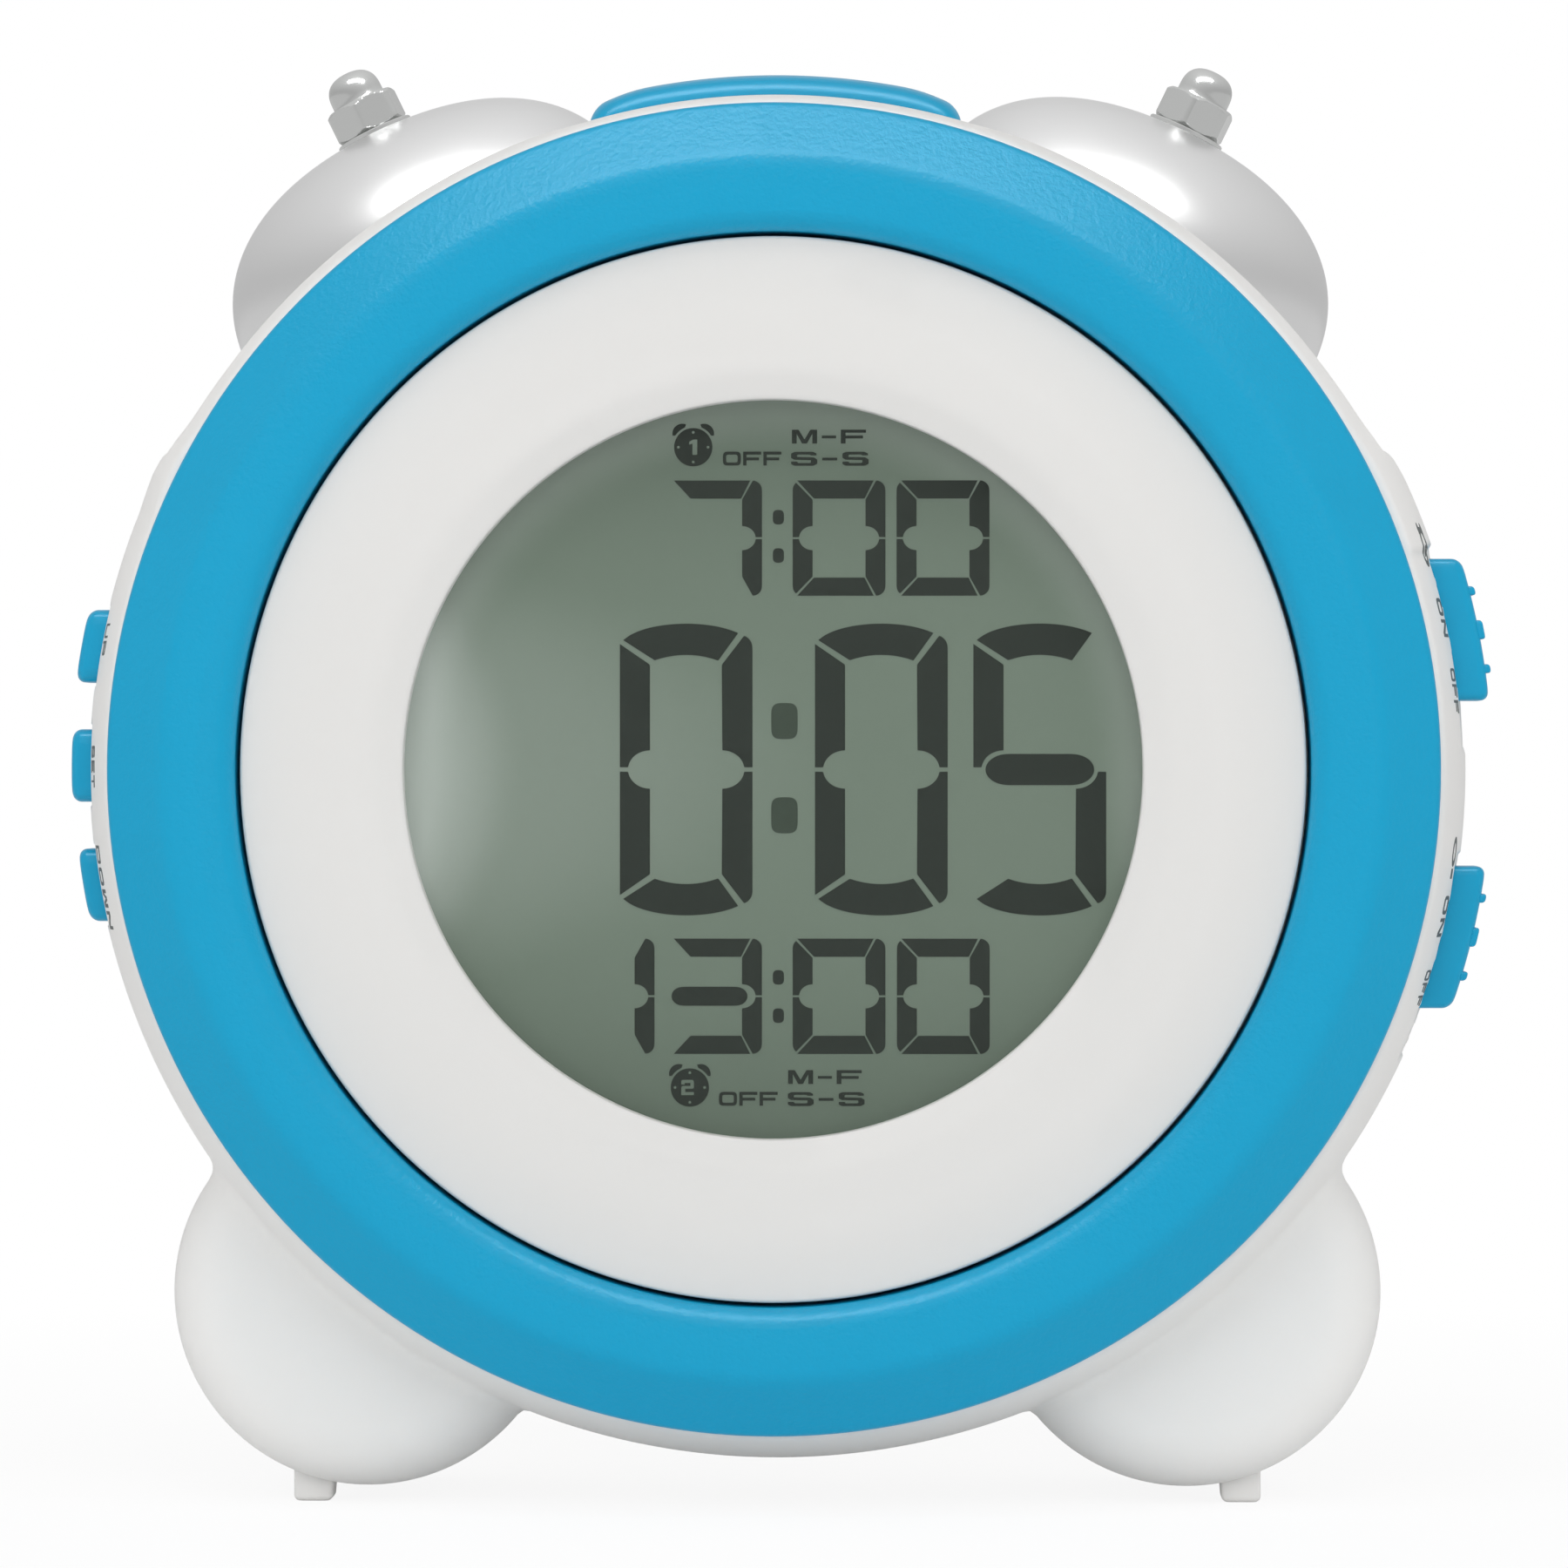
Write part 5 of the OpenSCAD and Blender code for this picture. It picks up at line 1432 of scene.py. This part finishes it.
@dataclass
class AcornNuts:
    """The domed nuts that hold the bells."""

    flats: float = 7.0
    hexagon_h: float = 3.45
    total_h: float = 6.63
    dome_r: float = 2.76
    dome_h: float = 2.5
    dome_power: float = 2.5
    bore_r: float = 2.05
    washer_r: float = 4.05
    seat: float = 0.31
    turn: float = 20.0
    steps: int = 120

    def _radius(self, angle: float, z: float) -> float:
        """Gives the hexagon's radius at an angle, limited by the chamfers at both ends."""
        across = max(-26.0, min(26.0, (angle - self.turn) % 60 - 30))
        flat = self.flats / 2 / math.cos(math.radians(across))
        return min(flat, self.flats / 2 * 0.965 + 1.25 * min(z, self.hexagon_h - z))

    def build(self, bench: Bench, bells: Bells) -> None:
        """Makes both nuts on the bells' own axes."""
        edge = [0.07 * i for i in range(9)]
        heights = edge + [self.hexagon_h - z for z in reversed(edge)]
        top = self.total_h - self.dome_h
        domes = [(self.dome_r + 0.25, self.hexagon_h), (self.dome_r + 0.07, self.hexagon_h + 0.07),
                 (self.dome_r, self.hexagon_h + 0.25), (self.dome_r, top)]
        domes += [(self.dome_r * math.cos(a) ** (2 / self.dome_power),
                   top + self.dome_h * math.sin(a) ** (2 / self.dome_power))
                  for a in (math.pi / 2 * i / 16 for i in range(1, 16))]
        for side, name in ((-1, "left"), (1, "right")):
            place = bells.spot_on(side)
            bm = bmesh.new()
            turns = [360 * i / self.steps for i in range(self.steps)]
            rings = [[(self.bore_r, 0.0)] * self.steps]
            rings += [[(self._radius(a, z), z) for a in turns] for z in heights]
            rings += [[ring] * self.steps for ring in domes]
            loops = [[bm.verts.new(place(r * math.cos(math.radians(a)),
                                         r * math.sin(math.radians(a)), -z - self.seat))
                      for a, (r, z) in zip(turns, ring)] for ring in rings]
            for a, b in zip(loops, loops[1:]):
                bridge(bm, a, b)
            tip = bm.verts.new(place(0, 0, -self.total_h - self.seat))
            for i in range(self.steps):
                bm.faces.new((loops[-1][i], loops[-1][(i + 1) % self.steps], tip))
            roof = bm.verts.new(place(0, 0, -self.hexagon_h - self.seat))
            for i in range(self.steps):
                bm.faces.new((loops[0][(i + 1) % self.steps], loops[0][i], roof))
            bench.place(f"{name}_nut", bm, Slot.NUT, "case", [f"{name}_acorn_nut"], sharp=24)
            bm = bmesh.new()
            rim = self.washer_r - 0.1
            lathe(bm, [(2.15, -self.seat), (rim, -self.seat), (self.washer_r, 0.1 - self.seat),
                       (self.washer_r, bells.seat - 0.1), (rim, bells.seat),
                       (2.15, bells.seat)], self.steps, place)
            bench.place(f"{name}_washer", bm, Slot.NUT, "case", [f"{name}_bell_washer"])


# ---------------------------------------------------------------- buttons and slides


@dataclass
class Controls:
    """The top button, the three side buttons and the two slide knobs."""

    case_r: float = 69.45
    widest_t: float = 26.0
    arc_r: float = 50.95
    side_t: float = 22.0
    knob_r: float = 71.75
    sunk: float = 0.35
    top: Size = (37.2, 8.6, 6.2)
    top_floor: float = 63.4
    top_t: float = 18.6
    side: Point = (7.3, 8.0)
    side_floor: float = 65.6
    knob: Size = (14.2, 9.0, 3.2)
    rib: Point = (8.0, 0.82)
    neck: Size = (6.0, 4.0, 7.5)
    neck_x: float = 61.0

    def top_button(self, bench: Bench) -> None:
        """Makes the wide crowned button on the turret."""

        def bend(v: Vector) -> Vector:
            """Wraps the block over the turret and crowns it from front to rear."""
            crown = 0.9 * (2 * v.y / self.top[1]) ** 2 if v.z > 3 else 0.0
            rho = self.top_floor + v.z - crown
            droop = 0.9 * max((abs(v.x) - 12.6) / 6.0, 0.0) ** 2 if v.z > 3 else 0.0
            return spot(v.x, math.sqrt(rho**2 - v.x**2) - droop, self.top_t + v.y)

        bm = bmesh.new()
        soft_block(bm, self.top, 2.2, 1.5, (40, 10), bend, 7)
        bench.place("top_button_cap", bm, Slot.BUTTONS, "top_button", ["top_button"], sharp=60)

    def side_button(self, bench: Bench, body: str, y: float, tall: float) -> None:
        """Makes one of the small buttons on the left, centred y above the dial's middle."""

        def bend(v: Vector) -> Vector:
            """Lays the block on the barrel's left side."""
            return spot(-math.sqrt((self.side_floor + v.z) ** 2 - (y + v.x) ** 2), y + v.x,
                        self.side_t + v.y)

        bm = bmesh.new()
        soft_block(bm, (*self.side, tall), 1.5, 0.9, (10, 4), bend, 6)
        bench.place(f"{body}_cap", bm, Slot.BUTTONS, body, [body], sharp=60)

    def slide_knob(self, bench: Bench, body: str, node: str, y: float) -> None:
        """Makes one slide knob with its three grip ribs and its neck.

        Args:
            bench: The bench that places it.
            body: The slider that it rides on.
            node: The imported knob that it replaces.
            y: Height of its middle above the dial's centre.
        """

        def body_bend(v: Vector) -> Vector:
            """Lays the knob in its shallow pocket in the barrel."""
            high, t = y + v.x, self.side_t + v.y
            bulge = self.case_r - self.arc_r
            under = bulge + math.sqrt(self.arc_r**2 - (self.widest_t - t) ** 2) - self.sunk
            low_x = math.sqrt(under**2 - high**2)
            out_x = math.sqrt(self.knob_r**2 - high**2)
            return spot(low_x + (out_x - low_x) * v.z / self.knob[2], high, t)

        bm = bmesh.new()
        soft_block(bm, self.knob, 0.9, 0.9, (16, 4), body_bend, 6)
        for offset, wide in ((-3.9, 0.9), (0.0, 1.9), (3.9, 0.9)):
            def rib_bend(v: Vector) -> Vector:
                """Stands a rib on the knob's outer face."""
                high = y + offset + v.x
                return spot(math.sqrt((self.knob_r - 0.3 + v.z) ** 2 - high**2), high,
                            self.side_t + v.y)

            soft_block(bm, (wide, *self.rib), 0.3, 0.3, (2, 2), rib_bend, 4)

        def neck_bend(v: Vector) -> Vector:
            """Runs the neck in through its slot."""
            return spot(self.neck_x + v.z, y + v.x, self.side_t + v.y)

        soft_block(bm, self.neck, 0.4, 0.2, (2, 2), neck_bend, 3)
        bench.place(f"{body}_knob", bm, Slot.BUTTONS, body, [node], sharp=50)

    def build(self, bench: Bench) -> None:
        """Makes every control."""
        self.top_button(bench)
        for body, y, tall in (("up_button", 12.4, 5.3), ("set_button", 0.4, 5.2),
                              ("down_button", -11.6, 5.0)):
            self.side_button(bench, body, y, tall)
        self.slide_knob(bench, "alarm_slider", "alarm_slide_knob", 14.0)
        self.slide_knob(bench, "light_slider", "light_slide_knob", -16.8)


@dataclass
class RimPrint:
    """The marks printed on the barrel beside the controls."""

    widest_t: float = 26.0
    case_r: float = 69.45
    arc_r: float = 50.95
    low_t: float = 13.8
    high: float = 2.4
    proud: float = 0.03
    sunk: float = 0.02

    def _layers(self, side: int) -> tuple[Layer, Layer]:
        """Gives the faces of the print on one side, above and below the barrel's skin."""
        return self._layer(side, self.proud), self._layer(side, -self.sunk)

    def _layer(self, side: int, lift: float) -> Layer:
        """Gives a layer on the barrel: its points are y and the depth t."""

        def on_barrel(y: float, t: float) -> Vector:
            """Places a point of the print."""
            r = self.case_r - self.arc_r + math.sqrt(self.arc_r**2 - (self.widest_t - t) ** 2)
            r += float(Housing().swell_at(side, math.degrees(math.acos(y / r))))
            return spot(side * math.sqrt((r + lift) ** 2 - y**2), y, t)

        return on_barrel

    def _word(self, bm: bmesh.types.BMesh, text: str, start: float, end: float,
              side: int = 1) -> None:
        """Prints a word on one side, read downwards from start to end."""
        glyphs = Glyphs(stroke=0.24)
        natural = sum(glyphs.width(c) + 0.3 for c in text) - 0.3
        pull = (start - end) / natural
        word = glyphs.word(
            text, lambda a, b: (start - a * pull,
                                self.low_t + (b if side > 0 else 1 - b) * self.high), 0.3)
        printed(bm, word, *self._layers(side))

    def build(self, bench: Bench) -> None:
        """Prints the switch words and signs on the right, and the button words on the left."""
        bm = bmesh.new()
        top, under = self._layers(1)
        for text, start, end in (("ON", 17.1, 13.2), ("OFF", 10.1, 5.6), ("ON", -12.6, -16.7),
                                 ("OFF", -20.0, -23.6)):
            self._word(bm, text, start, end)
        mid = self.low_t + self.high / 2
        band(bm, arc((22.2, mid), (2.0, 1.35), 0, 345, 23),
             arc((22.2, mid), (1.4, 0.85), 0, 345, 23), top, under)
        for t in (-0.55, 0.55):
            plate(bm, arc((23.9, mid + 1.5 * t), (0.7, 0.4), 0, 330, 11), top, under)
        plate(bm, [(22.4, mid - 0.12), (22.4, mid + 0.7), (22.1, mid + 0.7), (22.1, mid + 0.12),
                   (21.2, mid + 0.12), (21.2, mid - 0.12)], top, under)
        band(bm, arc((-8.2, mid), (1.5, 1.0), 0, 345, 23),
             arc((-8.2, mid), (0.95, 0.55), 0, 345, 23), top, under)
        plate(bm, [(-9.9, mid - 0.45), (-9.9, mid + 0.45), (-10.9, mid + 0.45),
                   (-10.9, mid - 0.45)], top, under)
        for text, start, end in (("UP", 14.6, 11.4), ("SET", 2.4, -1.8), ("DOWN", -7.6, -16.0)):
            self._word(bm, text, start, end, -1)
        bench.place("rim_print", bm, Slot.SHELL, "case", material=bench.shelf.ink)


# ---------------------------------------------------------------- studio


@dataclass
class Studio:
    """The floor, the lamps, the world and the camera."""

    camera_at: Vector = field(default_factory=lambda: Vector((0.0164, -0.833, 0.07387)))
    camera_to: Vector = field(default_factory=lambda: Vector((0.00117, -0.033, 0.07245)))
    lens: float = 187.4
    ambient: float = 0.5
    room_low: float = 0.56
    room_high: float = 0.85
    paper_white: float = 0.9
    paper_mirrored: float = 0.68

    def _floor(self) -> None:
        """Lays a wide white floor that keeps the clock's shadow near its feet."""
        bm = bmesh.new()
        bmesh.ops.create_grid(bm, x_segments=8, y_segments=8, size=3.0)
        mesh = bpy.data.meshes.new("floor")
        bm.to_mesh(mesh)
        bm.free()
        floor = bpy.data.objects.new("floor", mesh)
        bpy.context.scene.collection.objects.link(floor)
        material = bpy.data.materials.new("floor_paper")
        material.use_nodes = True
        tree = material.node_tree
        tree.nodes.clear()
        g = Graph(tree)
        paper = g.add("BsdfPrincipled", {"Base Color": (0.97, 0.97, 0.97, 1), "Roughness": 0.9,
                                         "Specular IOR Level": 0.0})
        path = g.add("LightPath")
        strength = g.add("Mix", {"Factor": path.outputs["Is Glossy Ray"], "A": 1.0,
                                 "B": self.paper_mirrored}, data_type="FLOAT")
        white = g.add("Emission", {"Color": (1, 1, 1, 1), "Strength": strength.outputs[0]})
        seen = g.math("MAXIMUM", path.outputs["Is Camera Ray"], path.outputs["Is Glossy Ray"])
        seen = g.math("MAXIMUM", seen, path.outputs["Is Transmission Ray"])
        away = g.add("VectorMath", {0: g.add("TexCoord").outputs["Object"]}, operation="LENGTH")
        fade = g.add("MapRange", {"Value": away.outputs["Value"], "From Min": 0.1,
                                  "From Max": 0.3, "To Min": self.paper_white, "To Max": 1.0})
        mix = g.add("MixShader", {0: g.math("MULTIPLY", seen, fade.outputs[0]),
                                  1: paper.outputs[0], 2: white.outputs[0]})
        tree.links.new(mix.outputs[0], g.add("OutputMaterial").inputs["Surface"])
        mesh.materials.append(material)

    def _world(self) -> None:
        """Makes the surroundings white to the eye and soft grey to the light."""
        world = bpy.data.worlds.new("studio")
        bpy.context.scene.world = world
        world.use_nodes = True
        tree = world.node_tree
        tree.nodes.clear()
        g = Graph(tree)
        path = g.add("LightPath")
        way = g.add("SeparateXYZ", {0: g.add("TexCoord").outputs["Generated"]})
        room = g.add("MapRange", {"Value": way.outputs["Z"], "From Min": 0.15, "From Max": 1.0,
                                  "To Min": self.room_low, "To Max": self.room_high})
        seen = g.math("MAXIMUM", path.outputs["Is Camera Ray"],
                      path.outputs["Is Transmission Ray"])
        gloss = g.add("Mix", {"Factor": path.outputs["Is Glossy Ray"], "A": self.ambient,
                              "B": room.outputs[0]}, data_type="FLOAT")
        level_of = g.add("Mix", {"Factor": seen, "A": gloss.outputs[0], "B": 1.0},
                         data_type="FLOAT")
        sky = g.add("Background", {"Color": (1, 1, 1, 1), "Strength": level_of.outputs[0]})
        tree.links.new(sky.outputs[0], g.add("OutputWorld").inputs["Surface"])

    def _lamp(self, name: str, at: Sequence[float], to: Sequence[float], size: Point,
              watts: float, mirrored: bool) -> None:
        """Hangs one soft box.

        Args:
            name: The lamp's name.
            at: Its place in metres.
            to: The point that it faces.
            size: Its width and height in metres.
            watts: Its power.
            mirrored: Whether shiny surfaces show it, and plain ones then take no light from it.
        """
        data = bpy.data.lights.new(name, "AREA")
        data.shape = "RECTANGLE"
        data.size, data.size_y = size
        data.energy = watts
        lamp = bpy.data.objects.new(name, data)
        lamp.location = at
        lamp.visible_glossy = mirrored
        lamp.visible_diffuse = not mirrored
        lamp.rotation_euler = (Vector(to) - Vector(at)).to_track_quat("-Z", "Y").to_euler()
        bpy.context.scene.collection.objects.link(lamp)

    def build(self) -> None:
        """Sets the whole studio up."""
        self._floor()
        self._world()
        for name, at, to_z, size, watts, seen in (
                ("gloss_box_above", (0.0, -0.4, 0.83), 0.08, (0.9, 0.2), 6.0, True),
                ("soft_box_above", (0.0, -0.4, 0.83), 0.08, (0.4, 0.24), 1.9, False),
                ("key_box", (0.0, -1.3, 0.7), 0.07, (1.3, 0.8), 6.6, False),
                ("fill_left", (-0.9, -0.5, 0.35), 0.07, (0.6, 0.8), 1.2, False),
                ("fill_right", (0.9, -0.45, 0.35), 0.07, (0.6, 0.8), 1.2, False)):
            self._lamp(name, at, (0, 0, to_z), size, watts, seen)
        data = bpy.data.cameras.new("camera")
        data.lens = self.lens
        data.sensor_width = 36.0
        data.clip_start = 0.05
        camera = bpy.data.objects.new("camera", data)
        camera.location = self.camera_at
        turn = (self.camera_to - self.camera_at).to_track_quat("-Z", "Y")
        camera.rotation_euler = turn.to_euler()
        bpy.context.scene.collection.objects.link(camera)
        scene = bpy.context.scene
        scene.camera = camera
        scene.view_settings.view_transform = "Standard"


def main() -> None:
    """Builds every sub-assembly in order."""
    logging.basicConfig(level=logging.INFO, format="%(name)s: %(message)s")
    shelf = Shelf()
    shelf.dress_nodes()
    bench = Bench(shelf)
    Housing().build(bench)
    rings = FrontRings()
    rings.bezel(bench)
    rings.ring_face(bench)
    Display().build(bench)
    bells = Bells()
    bells.build(bench)
    AcornNuts().build(bench, bells)
    Controls().build(bench)
    RimPrint().build(bench)
    Studio().build()
    LOG.info("made %d pieces", len(bench.made))


if __name__ == "__main__":
    main()
